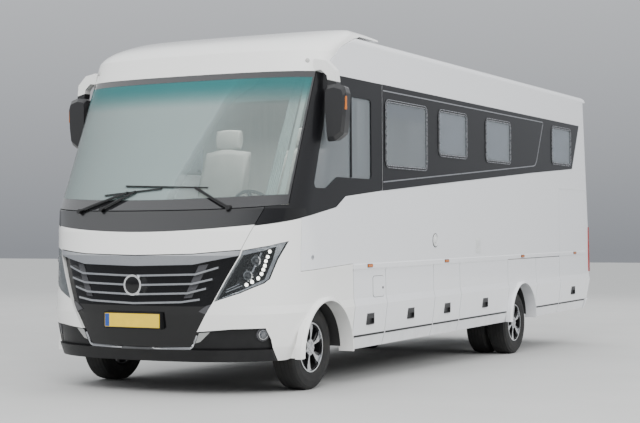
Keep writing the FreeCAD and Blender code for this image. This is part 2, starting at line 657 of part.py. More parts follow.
def spring_pad(hub):
    y, z = hub
    return box(SPRING_X - SPRING_W / 2, SPRING_X + SPRING_W / 2, y - 60, y + 60, z - 20, spring_seat(hub) - SEAT_GAP)


def spring_seat(hub):
    return hub[1] + BEAM_H / 2 + 12


def leaf_spring(hub):
    """Pack of leaves bowed down at the middle and resting on the axle pad."""
    y, seat = hub[0], spring_seat(hub)
    layers = []
    for i, share in enumerate((1.0, 0.78, 0.56, 0.36)):
        span = SPRING_HALF * share
        rise = SPRING_RISE * share * share
        thick = LEAF_PACK / 4
        z = seat + LEAF_PACK - (i + 1) * thick
        low = Part.Arc(V(0, y - span, z + rise), V(0, y, z), V(0, y + span, z + rise)).toShape()
        up = Part.Arc(V(0, y + span, z + rise + thick), V(0, y, z + thick), V(0, y - span, z + rise + thick)).toShape()
        close = [Part.LineSegment(V(0, y + span, z + rise), V(0, y + span, z + rise + thick)).toShape(),
                 Part.LineSegment(V(0, y - span, z + rise + thick), V(0, y - span, z + rise)).toShape()]
        leaf = Part.Face(Part.Wire([low, close[0], up, close[1]])).extrude(V(SPRING_W, 0, 0))
        leaf.translate(V(SPRING_X - SPRING_W / 2, 0, 0))
        layers.append(leaf)
    eyes = [cyl_x(y + s * SPRING_HALF, seat + LEAF_PACK - 6 + SPRING_RISE, 24, SPRING_X - SPRING_W / 2,
                  SPRING_X + SPRING_W / 2) for s in (1, -1)]
    bores = [cyl_x(y + s * SPRING_HALF, seat + LEAF_PACK - 6 + SPRING_RISE, EYE_PIN_R + RUN_CLEAR, 0, FAR)
             for s in (1, -1)]
    return cut(fuse(layers + eyes), bores)


def chassis_frame():
    """Two rails, cross members and the hangers that carry the springs."""
    x0, x1 = RAIL_X - RAIL_W / 2, RAIL_X + RAIL_W / 2
    rail = box(x0, x1, -850, RAIL_REAR_Y, RAIL_Z[0], RAIL_Z[1])
    knee_y = RAIL_REAR_Y - RAIL_W
    low = box(x0, x1, knee_y, TOW_Y, RAIL_LOW_Z, GARAGE_FLOOR_Z - GARAGE_SKIN - SEAT_GAP)
    knee = box(x0, x1, knee_y, RAIL_REAR_Y, RAIL_LOW_Z, RAIL_Z[0] + 1)
    channel = box(x0 - 1, x1 - RAIL_WALL, -FAR, TAIL_Y, RAIL_Z[0] + RAIL_WALL, RAIL_Z[1] - RAIL_WALL)
    rail = rail.cut(channel)
    reach = RAIL_X + RAIL_W / 2 - RAIL_WALL
    cross = [box(-reach, reach, y, y + 60, RAIL_Z[0] + 20, RAIL_Z[1] - 20) for y in CROSS_MEMBERS]
    tops = []
    for y in CROSS_MEMBERS[1:]:
        tops.append(box(SEAT_GAP - TRAY_BACK_X, TRAY_BACK_X - SEAT_GAP, y, y + 50, RAIL_Z[1], FLOOR_Z[0] - SEAT_GAP))
    hangers = []
    for hub in (FRONT_HUB, REAR_HUB):
        eye_z = spring_seat(hub) + LEAF_PACK - 6 + SPRING_RISE
        for s in (1, -1):
            y = hub[0] + s * SPRING_HALF
            plates = [box(x, x + 8, y - 35, y + 35, eye_z - 30, RAIL_Z[0] + 60)
                      for x in (SPRING_X - SPRING_W / 2 - 9, SPRING_X + SPRING_W / 2 + 1)]
            web = box(RAIL_X, SPRING_X + SPRING_W / 2 + 9, y - 35, y + 35, RAIL_Z[0] + 10, RAIL_Z[0] + 60)
            pin = cyl_x(y, eye_z, EYE_PIN_R, SPRING_X - SPRING_W / 2 - 9, SPRING_X + SPRING_W / 2 + 9)
            hangers = hangers + plates + [web, pin]
    half = fuse([rail, low, knee] + hangers)
    return fuse([half, mirrored(half)] + cross + tops + step_rails())


def rear_axle():
    """Driven axle: housing bowl, tubes and the spindles for the twin wheels, over level ground."""
    y, z = WHEELBASE, TYRE_R
    bowl = Part.makeSphere(165, V(0, y, z))
    nose = Part.makeCylinder(58, 150, V(0, y - AXLE_NOSE, z), V(0, 1, 0))
    tube = cyl_x(y, z, 52, -640, 640)
    spindle = cyl_x(y, z, SPINDLE_R, -REAR_OUTER_X - 40, REAR_OUTER_X + 40)
    pads = raked(both(spring_pad(REAR_HUB)))
    return fuse([bowl, nose, tube, spindle] + pads.Solids)


def knuckle():
    """Fork with its kingpin, the stub for the wheel and the steering arm, for the left wheel."""
    z = TYRE_R
    lugs = [cyl_z(KINGPIN_X, 0, 36, z + KNUCKLE_FORK / 2, z + KNUCKLE_FORK / 2 + 26),
            cyl_z(KINGPIN_X, 0, 36, z - KNUCKLE_FORK / 2 - 26, z - KNUCKLE_FORK / 2)]
    bridges = [box(KINGPIN_X, KINGPIN_X + 62, -34, 34, z + KNUCKLE_FORK / 2, z + KNUCKLE_FORK / 2 + 26),
               box(KINGPIN_X, KINGPIN_X + 62, -34, 34, z - KNUCKLE_FORK / 2 - 26, z - KNUCKLE_FORK / 2)]
    web = box(KINGPIN_X + 46, KINGPIN_X + 62, -40, 40, z - KNUCKLE_FORK / 2 - 26, z + KNUCKLE_FORK / 2 + 26)
    pin = cyl_z(KINGPIN_X, 0, KINGPIN_R, z - KNUCKLE_FORK / 2 - 26, z + KNUCKLE_FORK / 2 + 26)
    stub = cyl_x(0, z, SPINDLE_R, KINGPIN_X + 46, FRONT_TYRE_X + 44)
    arm_z = z - KNUCKLE_FORK / 2 - 26
    arm = prism([(KINGPIN_X - 24, 0), (KINGPIN_X + 18, 10), (BALL_X + 18, STEER_ARM), (BALL_X - 18, STEER_ARM)],
                arm_z, arm_z + 20, "z")
    ball = cyl_z(BALL_X, STEER_ARM, 18, arm_z, arm_z + 20)
    stud = cyl_z(BALL_X, STEER_ARM, 9, arm_z - 34, arm_z)
    return fuse(lugs + bridges + [web, pin, stub, arm, ball, stud])


def tie_rod():
    z = TYRE_R - KNUCKLE_FORK / 2 - 26 - 20
    rod = cyl_x(STEER_ARM, z, 14, -BALL_X, BALL_X)
    ends = [cyl_z(s * BALL_X, STEER_ARM, 22, z - 14, z + 14) for s in (1, -1)]
    holes = [cyl_z(s * BALL_X, STEER_ARM, 9 + RUN_CLEAR, z - 40, z + 40) for s in (1, -1)]
    return cut(fuse([rod] + ends), holes)


def tyre_solid(x, y):
    """One tyre, its tread towards the ground and its beads on the rim."""
    w = TYRE_W / 2
    points = [(w - 22, RIM_R + 1), (w - 8, RIM_R + 22), (w, RIM_R + 70), (w - 8, TYRE_R - 26), (w - 26, TYRE_R - 4),
              (w - 60, TYRE_R), (60 - w, TYRE_R), (26 - w, TYRE_R - 4), (8 - w, TYRE_R - 26), (-w, RIM_R + 70),
              (8 - w, RIM_R + 22), (22 - w, RIM_R + 1)]
    corners = [V(x + a, y, TYRE_R + b) for a, b in points]
    face = Part.Face(Part.makePolygon(corners + corners[:1]))
    return face.revolve(V(x, y, TYRE_R), V(1, 0, 0), 360)


def rim_solid(x, y):
    """Wheel with a barrel, six curved blades and a bored hub, outer face towards +X."""
    z = TYRE_R
    w = TYRE_W / 2 - 22
    barrel = cyl_x(y, z, RIM_R, x - w, x + w).cut(cyl_x(y, z, RIM_R - BARREL_WALL, x - w - 1, x + w + 1))
    face_x = x + w - 30
    plate = cyl_x(y, z, RIM_R - BARREL_WALL + 1, face_x - 14, face_x + 14)
    hub = cyl_x(y, z, 66, face_x - 60, face_x + 26)
    pockets = []
    for i in range(6):
        pocket = rounded([(58, -30), (188, -62), (192, 34), (84, 26)], 12, face_x - 40, face_x + 40, "x")
        pocket.rotate(V(0, 0, 0), V(1, 0, 0), 60 * i)
        pocket.translate(V(0, y, z))
        pockets.append(pocket)
    flange = cyl_x(y, z, RIM_R, x + w, x + w + 6).cut(cyl_x(y, z, RIM_R - 12, x + w - 1, x + w + 7))
    blades = []
    for i in range(6):
        line = [(r * math.cos(math.radians(60 * i + a)), r * math.sin(math.radians(60 * i + a))) for r, a in BLADE]
        blade = prism(line, face_x, face_x + 22, "x")
        blade.translate(V(0, y, z))
        blades.append(blade)
    wheel = fuse([barrel, cut(plate, pockets), hub, flange] + blades)
    return wheel.cut(cyl_x(y, z, SPINDLE_R + RUN_CLEAR, face_x - 80, face_x + 12))


def rear_wheel():
    y, z = WHEELBASE, TYRE_R
    outer = rim_solid(REAR_OUTER_X, y)
    inner_x = REAR_OUTER_X - TWIN_PITCH
    w = TYRE_W / 2 - 22
    barrel = cyl_x(y, z, RIM_R, inner_x - w, inner_x + w)
    barrel = barrel.cut(cyl_x(y, z, RIM_R - BARREL_WALL, inner_x - w - 1, inner_x + w + 1))
    plate = cyl_x(y, z, RIM_R - BARREL_WALL + 1, inner_x + w - 24, inner_x + w)
    drum = cyl_x(y, z, 80, inner_x + w - 24, REAR_OUTER_X + w - 40)
    inner = fuse([barrel, plate, drum]).cut(cyl_x(y, z, SPINDLE_R + RUN_CLEAR, inner_x - w - 10, REAR_OUTER_X + 60))
    return fuse([outer, inner])


def housing(arch, inner_x):
    """Arch liner: half a drum closed on its inner side."""
    y, z, r, _ = arch
    r0 = r - SEAT_GAP
    outer_x = BODY_HALF - LIP_RETURN + 15
    drum = cyl_x(y, z, r0, inner_x, outer_x)
    hollow = cyl_x(y, z, r0 - HOUSING_WALL, inner_x + HOUSING_WALL, outer_x + 1)
    keep = box(0, FAR, y - FAR, y + FAR, 330, FAR)
    slot = box(inner_x - 1, inner_x + HOUSING_WALL + 1, *AXLE_SLOT)
    return drum.cut(hollow).common(keep).cut(slot)


def wheel_housings():
    pair = [housing(ARCH_FRONT, FRONT_HOUSING_X), housing(ARCH_REAR, REAR_HOUSING_X)]
    return Part.makeCompound(pair + [mirrored(p) for p in pair])


def locker_tray(spans):
    """Open-fronted boxes behind the locker flaps."""
    pieces = []
    outer_x = station(TRAY_FLOOR_Z)[0] - FLAP_THICK - 14
    y0, y1 = spans[0][0], spans[-1][1]
    pieces.append(box(TRAY_BACK_X, outer_x, y0 + 12, y1 - 12, TRAY_FLOOR_Z, TRAY_FLOOR_Z + TRAY_WALL))
    pieces.append(box(TRAY_BACK_X, TRAY_BACK_X + TRAY_WALL, y0 + 12, y1 - 12, TRAY_FLOOR_Z, FLOOR_Z[0] - SEAT_GAP))
    for a, b in spans:
        for y in (a + 12, b - 12 - TRAY_WALL):
            pieces.append(box(TRAY_BACK_X, outer_x, y, y + TRAY_WALL, TRAY_FLOOR_Z, FLOOR_Z[0] - SEAT_GAP))
    return fuse(pieces)


def garage_room():
    """Floor, front wall and ceiling of the rear garage, open to the doors on both sides."""
    half = station(GARAGE_FLOOR_Z)[0] - WALL - FLAP_GAP - 1
    y0, y1 = REAR_ARCH_REAR_Y + 20, TAIL_Y - 210
    base = box(-half, half, y0, y1, GARAGE_FLOOR_Z - GARAGE_SKIN, GARAGE_FLOOR_Z)
    front = box(-half, half, y0, y0 + 20, GARAGE_FLOOR_Z - GARAGE_SKIN, GARAGE_ROOF_Z)
    lid = box(-half, half, y0, y1, GARAGE_ROOF_Z - GARAGE_SKIN, GARAGE_ROOF_Z)
    return fuse([base, front, lid])


def floor():
    inner = body_block(FLOOR_Z[0], FLOOR_Z[1], WALL + 1)
    return inner.common(box(-FAR, FAR, -90, REAR_ARCH_REAR_Y + 18, 900, 1100))


def dashboard():
    """Moulded fascia with the shelf that runs forward to the foot of the windscreen."""
    profile = [(-590, 1300), (-330, 1290), (-270, 1130), (-170, 1120), (-70, 1180), (-90, 1380), (-240, 1470),
               (-520, 1530), (-950, 1544), (-950, 1524), (-590, 1524)]
    shelf = prism(profile, -1110, 1110, "x").common(body_block(1000, 1600, WALL + SEAT_GAP))
    corner = box(980, FAR, -700, -200, 1000, 1265)
    return cut(shelf, [corner, mirrored(corner)])


def steering_wheel():
    ring = Part.makeTorus(200, 15, V(0, 0, 0), V(0, 0, 1))
    hub = Part.makeCylinder(60, 40, V(0, 0, -30), V(0, 0, 1))
    spokes = [box(-190, 190, -18, 18, -16, 0), box(-18, 18, -190, 0, -16, 0)]
    column = Part.makeCylinder(36, 330, V(0, 0, -330), V(0, 0, 1))
    wheel = fuse([ring, hub, column] + spokes)
    wheel.rotate(V(0, 0, 0), V(1, 0, 0), -STEERING_LEAN)
    wheel.translate(V(SEAT_X, 160, 1500))
    return wheel.cut(dashboard())


def seat():
    """Cab seat on its plinth."""
    x, y = SEAT_X, 760
    cushion = rounded(rectangle(x - 250, x + 250, y - 260, y + 250), 60, 1330, 1460, "z")
    back = rounded([(y + 190, 1440), (y + 300, 1440), (y + 400, 2080), (y + 310, 2080)], 30, x - 240, x + 240, "x")
    head = rounded([(y + 325, 2085), (y + 400, 2085), (y + 420, 2270), (y + 350, 2270)], 25, x - 130, x + 130, "x")
    stalks = [cyl_z(x + s * 60, y + 362, 7, 2070, 2100) for s in (1, -1)]
    plinth = box(x - 190, x + 190, y - 180, y + 200, FLOOR_Z[1] + SEAT_GAP, 1335)
    return fuse([cushion, back, head, plinth] + stalks)


def partition():
    y = PARTITION_Y
    panel = body_block(FLOOR_Z[1] + SEAT_GAP, WALL_TOP_Z - 2, WALL + 1)
    return panel.common(box(-FAR, FAR, y, y + 30, 900, 3000))


def grille_surround():
    """Black field round the grille, with the plate carrier and the low air intake."""
    shell = body_ring(330, 1200, 12, WALL + SEAT_GAP)
    return shell.common(front_field(GRILLE_OUTLINE, -SURROUND_LAP))


def grille_bars():
    """Chrome cross bars, the bright bar above them and the bare round boss at the centre."""
    top = body_ring(1000, 1250, WALL + 3, -3)
    right = [(x - 3 * (x > 0), z - 3) for x, z in CHROME_BAR_TOP] + [(x - 3 * (x > 0), z) for x, z in CHROME_BAR_LOW[::-1]]
    points = right + [(-x, z) for x, z in right[-2:0:-1]]
    bars = [top.common(prism(points, -1300, -400, "y"))]
    for end_x, end_z, bend_x, bend_z in GRILLE_BARS:
        ring = body_ring(bend_z - 60, end_z + 20, WALL - BAR_SET_BACK, BAR_SET_BACK)
        line = [(-end_x, end_z), (-bend_x, bend_z), (0, bend_z - 14), (bend_x, bend_z), (end_x, end_z)]
        low = [(x, h - 15) for x, h in line[::-1]]
        bars.append(ring.common(prism(line + low, -1300, -400, "y")))
    boss = Part.makeCylinder(84, 80, V(0, -1076, 895), V(0, 1, 0))
    boss = boss.makeFillet(7, [boss.Edges[0]]).cut(body_block(700, 1100, WALL))
    joined = fuse(bars[1:] + [boss])
    return Part.makeCompound(bars[0].Solids + joined.Solids)


def bumper():
    """Black lip and fog lamp recesses below the mask."""
    field = fog_field(PANEL_GAP)
    lip = body_ring(SILL_Z, LIP_TOP_Z, WALL + 20, -8).common(field)
    fog = body_ring(LIP_TOP_Z - 30, FOG_OUTLINE[3][1], 12, FOG_SET_BACK).common(field)
    fog = fog.cut(front_field(GRILLE_OUTLINE, -SURROUND_LAP - SEAT_GAP))
    return fuse(lip.Solids + fog.Solids)


def lamp_lens():
    ring = body_ring(740, 1260, 5, 2)
    small = prism(LAMP_OUTLINE, -1300, -300, "y")
    return ring.common(small)


def lamp_housing():
    """Bowl behind the lens with two projector tubes standing in it."""
    middle = (sum(x for x, _ in LAMP_OUTLINE) / 9, sum(z for _, z in LAMP_OUTLINE) / 9)
    small = [(middle[0] + 0.93 * (x - middle[0]), middle[1] + 0.93 * (z - middle[1])) for x, z in LAMP_OUTLINE]
    block = body_block(740, 1260, 34).cut(body_block(740, 1260, 34 + LAMP_DEPTH))
    block = block.common(prism(LAMP_OUTLINE, -1300, -300, "y"))
    hollow = body_block(740, 1260, 30).cut(body_block(740, 1260, 34 + LAMP_DEPTH - LAMP_WALL))
    bowl = block.cut(hollow.common(prism(small, -1300, -300, "y")))
    room = body_block(740, 1260, 62).cut(body_block(740, 1260, 34 + LAMP_DEPTH - 2))
    tubes = []
    for x, z in PROJECTORS:
        tube = Part.makeCylinder(PROJECTOR_R, 900, V(x, -1300, z), V(0, 1, 0))
        tubes.append(tube.common(room))
    return fuse([bowl] + tubes)


def strip(x0, z0, x1, z1, width):
    """Outline of a straight bar seen from the front."""
    length = math.hypot(x1 - x0, z1 - z0)
    a, b = -(z1 - z0) / length * width / 2, (x1 - x0) / length * width / 2
    return [(x0 + a, z0 + b), (x1 + a, z1 + b), (x1 - a, z1 - b), (x0 - a, z0 - b)]


def wipers():
    """Pivots, arms and blades over the foot of the windscreen."""
    arms = body_ring(1440, 1760, 18, -30)
    feet = body_ring(1440, 1760, 30, -30 - SEAT_GAP)
    blades = body_ring(1440, 1760, 12, -12 - SEAT_GAP)
    pieces = []
    for pivots, blade in WIPERS:
        parts_of = [blades.common(prism(strip(*blade, 11), -1300, -500, "y"))]
        for x0, z0, x1, z1 in pivots:
            parts_of.append(arms.common(prism(strip(x0, z0, x1, z1, 16), -1300, -500, "y")))
            parts_of.append(feet.common(Part.makeCylinder(19, 900, V(x0, -1300, z0), V(0, 1, 0))))
        pieces.append(fuse(parts_of))
    return Part.makeCompound([s for p in pieces for s in p.Solids])


def rounded_wire(points, radius, y):
    """Closed outline with rounded corners across the Y axis."""
    solid = rounded(points, radius, y, y + 1, "y")
    return [f for f in solid.Faces if f.BoundBox.YLength < 0.01 and abs(f.BoundBox.YMin - y) < 0.01][0].OuterWire


def mirror_head():
    """Outside mirror hanging from an arched arm at the corner of the cap, left side."""
    middle = (BODY_HALF + 122, 2290)
    wires = []
    for y, size in ((-72, 0.84), (-40, 1.0), (46, 0.97)):
        points = [(middle[0] + size * (x - middle[0]), middle[1] + size * (z - middle[1])) for x, z in MIRROR_OUTLINE]
        wires.append(rounded_wire(points, 26 * size, y))
    head = Part.makeLoft(wires, True, True)
    arm = rounded(MIRROR_ARM, 14, -45, 35, "y")
    return head, arm


def mirrors():
    head, arm = mirror_head()
    arm = arm.cut(cap_block(-SEAT_GAP)).cut(body_block(2400, 2900, -SEAT_GAP))
    return both(fuse([head, arm]))


def tail_lamps():
    """Upright lamp strips in the rear corners."""
    ring = body_ring(700, 1400, 12 - SEAT_GAP, -12)
    lamp = ring.common(box(BODY_HALF - 280, FAR, TAIL_Y - 130, TAIL_Y + 200, *TAIL_LAMP_Z))
    return both(lamp)


def rear_bumper():
    ring = body_block(SILL_Z, REAR_BUMPER_TOP, -14).cut(body_block(SILL_Z, REAR_BUMPER_TOP, WALL))
    return ring.common(box(-FAR, FAR, GARAGE_Y[1] + FLAP_GAP, TAIL_Y + 200, 200, 500))


def entry_step():
    y0, y1 = DOOR_Y
    tread = rounded(rectangle(-1120, -760, y0 + 60, y1 - 60), 30, STEP_Z - 26, STEP_Z, "z")
    return tread


def step_rails():
    """Runners that carry the sliding step, hung from arms on the right chassis rail."""
    y0, y1 = DOOR_Y
    rails = []
    for y in (y0 + 80, y1 - 104):
        rails.append(box(-1100, -700, y, y + 24, STEP_Z + SEAT_GAP, STEP_Z + 50))
        rails.append(box(-760, -700, y, y + 24, STEP_Z + 40, RAIL_Z[0] + 70))
        rails.append(box(-760, -RAIL_X, y, y + 24, RAIL_Z[0] + 20, RAIL_Z[0] + 70))
    return rails


def engine():
    return rounded(rectangle(-300, 300, -780, ENGINE_REAR_Y), 40, 520, 1040, "z")


def fuel_tank():
    tank = rounded([(-1000, 380), (-540, 380), (-540, 640), (-1000, 640)], 50, 1560, 2070, "y")
    straps = [box(-1006, -RAIL_X, y, y + 40, 640, 680) for y in (1640, 1960)]
    return fuse([tank] + [s.cut(box(-RAIL_X - RAIL_W / 2 - SEAT_GAP, 0, 0, 3000, 0, 900)) for s in straps])


def propshaft():
    """Shaft from the engine block to the nose of the rear axle, made over level ground."""
    a = math.radians(RAKE)
    y0, z0 = ENGINE_REAR_Y * math.cos(a) - SHAFT_Z * math.sin(a), SHAFT_Z * math.cos(a)
    start, end = V(0, y0 - 20, z0), V(0, WHEELBASE - AXLE_NOSE + 20, TYRE_R)
    shaft = Part.makeCylinder(38, (end - start).Length, start, end - start)
    block = raked(box(-200, 200, ENGINE_REAR_Y - 300, ENGINE_REAR_Y + SEAT_GAP, 300, 1000))
    nose = box(-200, 200, WHEELBASE - AXLE_NOSE - SEAT_GAP, WHEELBASE, 0, 1000)
    return shaft.cut(block).cut(nose)


def build():
    """Every sub-part by node name, in its place."""
    shell = body_ring(SILL_Z, WALL_TOP_Z, WALL)
    garage_left = garage_field(0)
    door_hole = box(LEFT_FIELD[0], FAR, DOOR_Y[0], DOOR_Y[1], DOOR_Z[0], DOOR_Z[1])
    nodes = {}
    nodes["front_cap"] = front_cap()
    nodes["front_mask"] = front_mask(shell)
    nodes["service_flap"] = service_flap(shell)
    nodes["windscreen"] = windscreen()
    nodes["cab_sides"] = both(cab_side(shell))
    nodes["side_wall_left"] = side_wall(shell, WINDOWS_LEFT, [garage_left])
    right = side_wall(shell, WINDOWS_RIGHT, [garage_left, door_hole])
    nodes["side_wall_right"] = mirrored(fuse([right] + door_brackets()))
    nodes["window_bands"] = Part.makeCompound(window_band(WINDOWS_LEFT, []).Solids
                                              + mirrored(window_band(WINDOWS_RIGHT,
                                                                    [door_hole] + door_brackets(SEAT_GAP))).Solids)
    frames = [window_frame(w) for w in WINDOWS_LEFT] + [mirrored(window_frame(w)) for w in WINDOWS_RIGHT]
    nodes["window_frames"] = Part.makeCompound([s for f in frames for s in f.Solids])
    panes = [window_pane(w) for w in WINDOWS_LEFT] + [mirrored(window_pane(w)) for w in WINDOWS_RIGHT]
    panes = panes + [cab_glass(), mirrored(cab_glass())]
    nodes["side_glass"] = Part.makeCompound([s for p in panes for s in p.Solids])
    nodes["roof"] = roof()
    nodes["roof_lights"] = roof_lights()
    nodes["rear_wall"] = rear_wall(shell)
    nodes["rear_bumper"] = rear_bumper()
    nodes["tail_lamps"] = tail_lamps()
    nodes["bumper"] = bumper()
    nodes["grille_surround"] = grille_surround()
    nodes["grille_bars"] = grille_bars()
    nodes["headlamp_lenses"] = both(lamp_lens())
    nodes["headlamp_housings"] = both(lamp_housing())
    nodes["wipers"] = wipers()
    nodes["mirrors"] = mirrors()
    left_fixed = [(REAR_ARCH_FRONT_Y, REAR_ARCH_REAR_Y), (REAR_ARCH_REAR_Y, GARAGE_Y[0])]
    right_fixed = [(RIGHT_LOCKERS[0][1], DOOR_Y[0]), (DOOR_Y[1], RIGHT_LOCKERS[1][0]), (REAR_ARCH_FRONT_Y, REAR_ARCH_REAR_Y),
                   (REAR_ARCH_REAR_Y, GARAGE_Y[0])]
    nodes["skirt_left"] = skirt_pieces(shell, left_fixed)
    nodes["skirt_right"] = mirrored(skirt_pieces(shell, right_fixed))
    for i in range(4):
        nodes["locker_left_%d" % (i + 1)] = hung_panel(shell, LOCKER_SPLITS[i], LOCKER_SPLITS[i + 1], BELT_Z, FLAP_GAP)
    for i, (y0, y1) in enumerate(RIGHT_LOCKERS):
        nodes["locker_right_%d" % (i + 1)] = mirrored(hung_panel(shell, y0, y1, BELT_Z, FLAP_GAP))
    garage = hung_panel(shell, GARAGE_Y[0], GARAGE_Y[1], GARAGE_TOP_Z, FLAP_GAP)
    nodes["garage_door_left"] = garage
    nodes["garage_door_right"] = mirrored(garage)
    nodes["entry_door"] = entry_door(shell)
    nodes["entry_step"] = entry_step()
    left_spans = list(zip(LOCKER_SPLITS[:-1], LOCKER_SPLITS[1:]))
    boxes = locker_tray(left_spans).Solids
    for span in RIGHT_LOCKERS:
        boxes = boxes + mirrored(locker_tray([span])).Solids
    nodes["locker_boxes"] = Part.makeCompound(boxes)
    nodes["garage_room"] = garage_room()
    nodes["wheel_housings"] = wheel_housings()
    nodes["floor"] = floor()
    nodes["dashboard"] = dashboard()
    nodes["steering_wheel"] = steering_wheel()
    nodes["cab_seats"] = both(seat())
    nodes["partition"] = partition()
    nodes["chassis_frame"] = chassis_frame()
    springs = [leaf_spring(FRONT_HUB), leaf_spring(REAR_HUB)]
    nodes["leaf_springs"] = Part.makeCompound(springs + [mirrored(s) for s in springs])
    nodes["engine"] = engine()
    nodes["fuel_tank"] = fuel_tank()
    nodes = {name: raked(shape) for name, shape in nodes.items()}
    nodes["front_axle"] = front_axle()
    nodes["rear_axle"] = rear_axle()
    nodes["propshaft"] = propshaft()
    nodes["knuckle_left"] = knuckle()
    nodes["knuckle_right"] = mirrored(knuckle())
    nodes["tie_rod"] = tie_rod()
    for side, turn in (("left", lambda s: s), ("right", mirrored)):
        nodes["tyre_front_" + side] = turn(tyre_solid(FRONT_TYRE_X, 0))
        nodes["rim_front_" + side] = turn(rim_solid(FRONT_TYRE_X, 0))
        twins = [tyre_solid(REAR_OUTER_X, WHEELBASE), tyre_solid(REAR_OUTER_X - TWIN_PITCH, WHEELBASE)]
        nodes["tyres_rear_" + side] = turn(Part.makeCompound(twins))
        nodes["rims_rear_" + side] = turn(rear_wheel())
    return nodes


def centred(nodes):
    """Moves the whole coach along Y so that its box is centred on the frame."""
    boxes = [shape.optimalBoundingBox(False) for shape in nodes.values()]
    middle = (min(b.YMin for b in boxes) + max(b.YMax for b in boxes)) / 2
    for shape in nodes.values():
        shape.translate(V(0, -middle, 0))
    return middle


parts = build()
shift = centred(parts)
for name, shape in parts.items():
    shape.exportStep("parts/" + name + ".step")
print("middle of the coach lies", round(shift, 3), "mm behind the front axle")
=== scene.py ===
# %% [markdown]
# A large motorhome, dressed for its portrait.
# The solids of the coach come ready made as a fixed frame: panels, glass, wheels and running gear.
# This lesson gives them their finishes and adds what is too small or too soft for solid modelling:
# lamps, blinds, trim lines, tread, seats and the many little fittings that make a coach look real.
# Everything is in metres in the frame's own axes: X to the coach's left, Y to its tail, Z up.

# %% Load the frame
import math

import bmesh
import bpy
from mathutils import Matrix, Vector
from mathutils.bvhtree import BVHTree


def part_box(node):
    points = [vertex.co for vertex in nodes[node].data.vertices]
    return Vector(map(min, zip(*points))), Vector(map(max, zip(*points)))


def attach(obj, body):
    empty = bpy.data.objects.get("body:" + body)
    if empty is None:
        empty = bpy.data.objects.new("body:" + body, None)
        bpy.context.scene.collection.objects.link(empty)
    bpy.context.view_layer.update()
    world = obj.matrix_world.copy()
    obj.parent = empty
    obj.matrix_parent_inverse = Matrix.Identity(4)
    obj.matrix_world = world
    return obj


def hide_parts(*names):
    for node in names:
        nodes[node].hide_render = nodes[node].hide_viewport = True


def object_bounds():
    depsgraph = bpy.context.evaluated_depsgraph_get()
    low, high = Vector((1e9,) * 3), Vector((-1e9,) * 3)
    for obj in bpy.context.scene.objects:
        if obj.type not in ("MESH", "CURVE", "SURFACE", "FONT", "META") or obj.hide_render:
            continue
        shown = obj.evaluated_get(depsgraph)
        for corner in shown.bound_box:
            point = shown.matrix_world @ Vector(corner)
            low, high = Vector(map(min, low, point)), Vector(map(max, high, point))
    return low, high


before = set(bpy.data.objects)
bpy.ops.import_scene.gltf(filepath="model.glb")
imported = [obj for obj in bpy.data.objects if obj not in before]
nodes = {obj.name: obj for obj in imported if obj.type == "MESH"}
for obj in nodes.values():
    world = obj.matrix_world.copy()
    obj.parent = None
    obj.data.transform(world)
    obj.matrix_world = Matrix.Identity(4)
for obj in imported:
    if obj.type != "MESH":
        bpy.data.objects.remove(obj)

cad_low, cad_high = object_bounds()
print("the coach measures", [round(b - a, 3) for a, b in zip(cad_low, cad_high)], "m")

# %% [markdown]
# The body of the coach is drawn with level lines and then sits nose-down by a small rake, while
# its axles stay level over the ground. Places on the body are easiest to give in its own level
# lines, measured from the ground under the front axle, and then turned by the rake. The axle's
# place is read from the front tyre, so nothing here depends on where the frame has its origin.

# %% Places on the body
RAKE = math.radians(1.13)
tyre_low, tyre_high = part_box("tyre_front_left")
FRONT_AXLE_Y = (tyre_low.y + tyre_high.y) / 2
RAKE_TURN = Matrix.Rotation(RAKE, 3, "X")


def place(x, y, z):
    """A point on the body, given in its own level lines, in the frame."""
    return RAKE_TURN @ Vector((x, y, z)) + Vector((0, FRONT_AXLE_Y, 0))


def level(point):
    """The same the other way round: from the frame to the body's level lines."""
    return RAKE_TURN.transposed() @ (Vector(point) - Vector((0, FRONT_AXLE_Y, 0)))


print("the front axle lies at y =", round(FRONT_AXLE_Y, 3))

# %% [markdown]
# The photographer stood well ahead of the coach and to its left, with a long lens at about chest
# height. A long lens keeps upright lines upright, so the camera is only turned by small angles.

# %% Camera
EYE = Vector((6.4967, FRONT_AXLE_Y - 10.4012, 1.1435))
CAMERA_YAW = math.radians(27.346)
CAMERA_PITCH = math.radians(1.641)
CAMERA_ROLL = math.radians(0.211)
LENS_MM = 79.28

lens = bpy.data.cameras.new("portrait_lens")
lens.lens = LENS_MM
lens.sensor_width = 36
lens.clip_end = 400
camera = bpy.data.objects.new("portrait_camera", lens)
bpy.context.scene.collection.objects.link(camera)
turn = (Matrix.Rotation(CAMERA_YAW, 3, "Z") @ Matrix.Rotation(math.pi / 2 + CAMERA_PITCH, 3, "X")
        @ Matrix.Rotation(CAMERA_ROLL, 3, "Z"))
camera.matrix_world = Matrix.Translation(EYE) @ turn.to_4x4()
bpy.context.scene.camera = camera
print("camera", round(EYE.length, 2), "m from the middle of the coach")

# %% [markdown]
# Shader maths reads best as plain sums. The class below wraps one socket of a node tree, and
# its operators add the Math nodes: `mask = 1 - far * 2` builds two of them. A second class
# holds a material and adds any other node by its type, its settings and its sockets.

# %% Sockets that can be added and multiplied


def joined(operation, swapped=False):
    """Method that joins a flow with a flow or a number in one Math node."""
    def method(self, other):
        pair = (other, self) if swapped else (self, other)
        return self.finish.node("ShaderNodeMath", {"operation": operation}, dict(enumerate(pair)))
    return method


def alone(operation):
    """Method that sends one flow through a Math node."""
    return lambda self: self.finish.node("ShaderNodeMath", {"operation": operation}, {0: self})


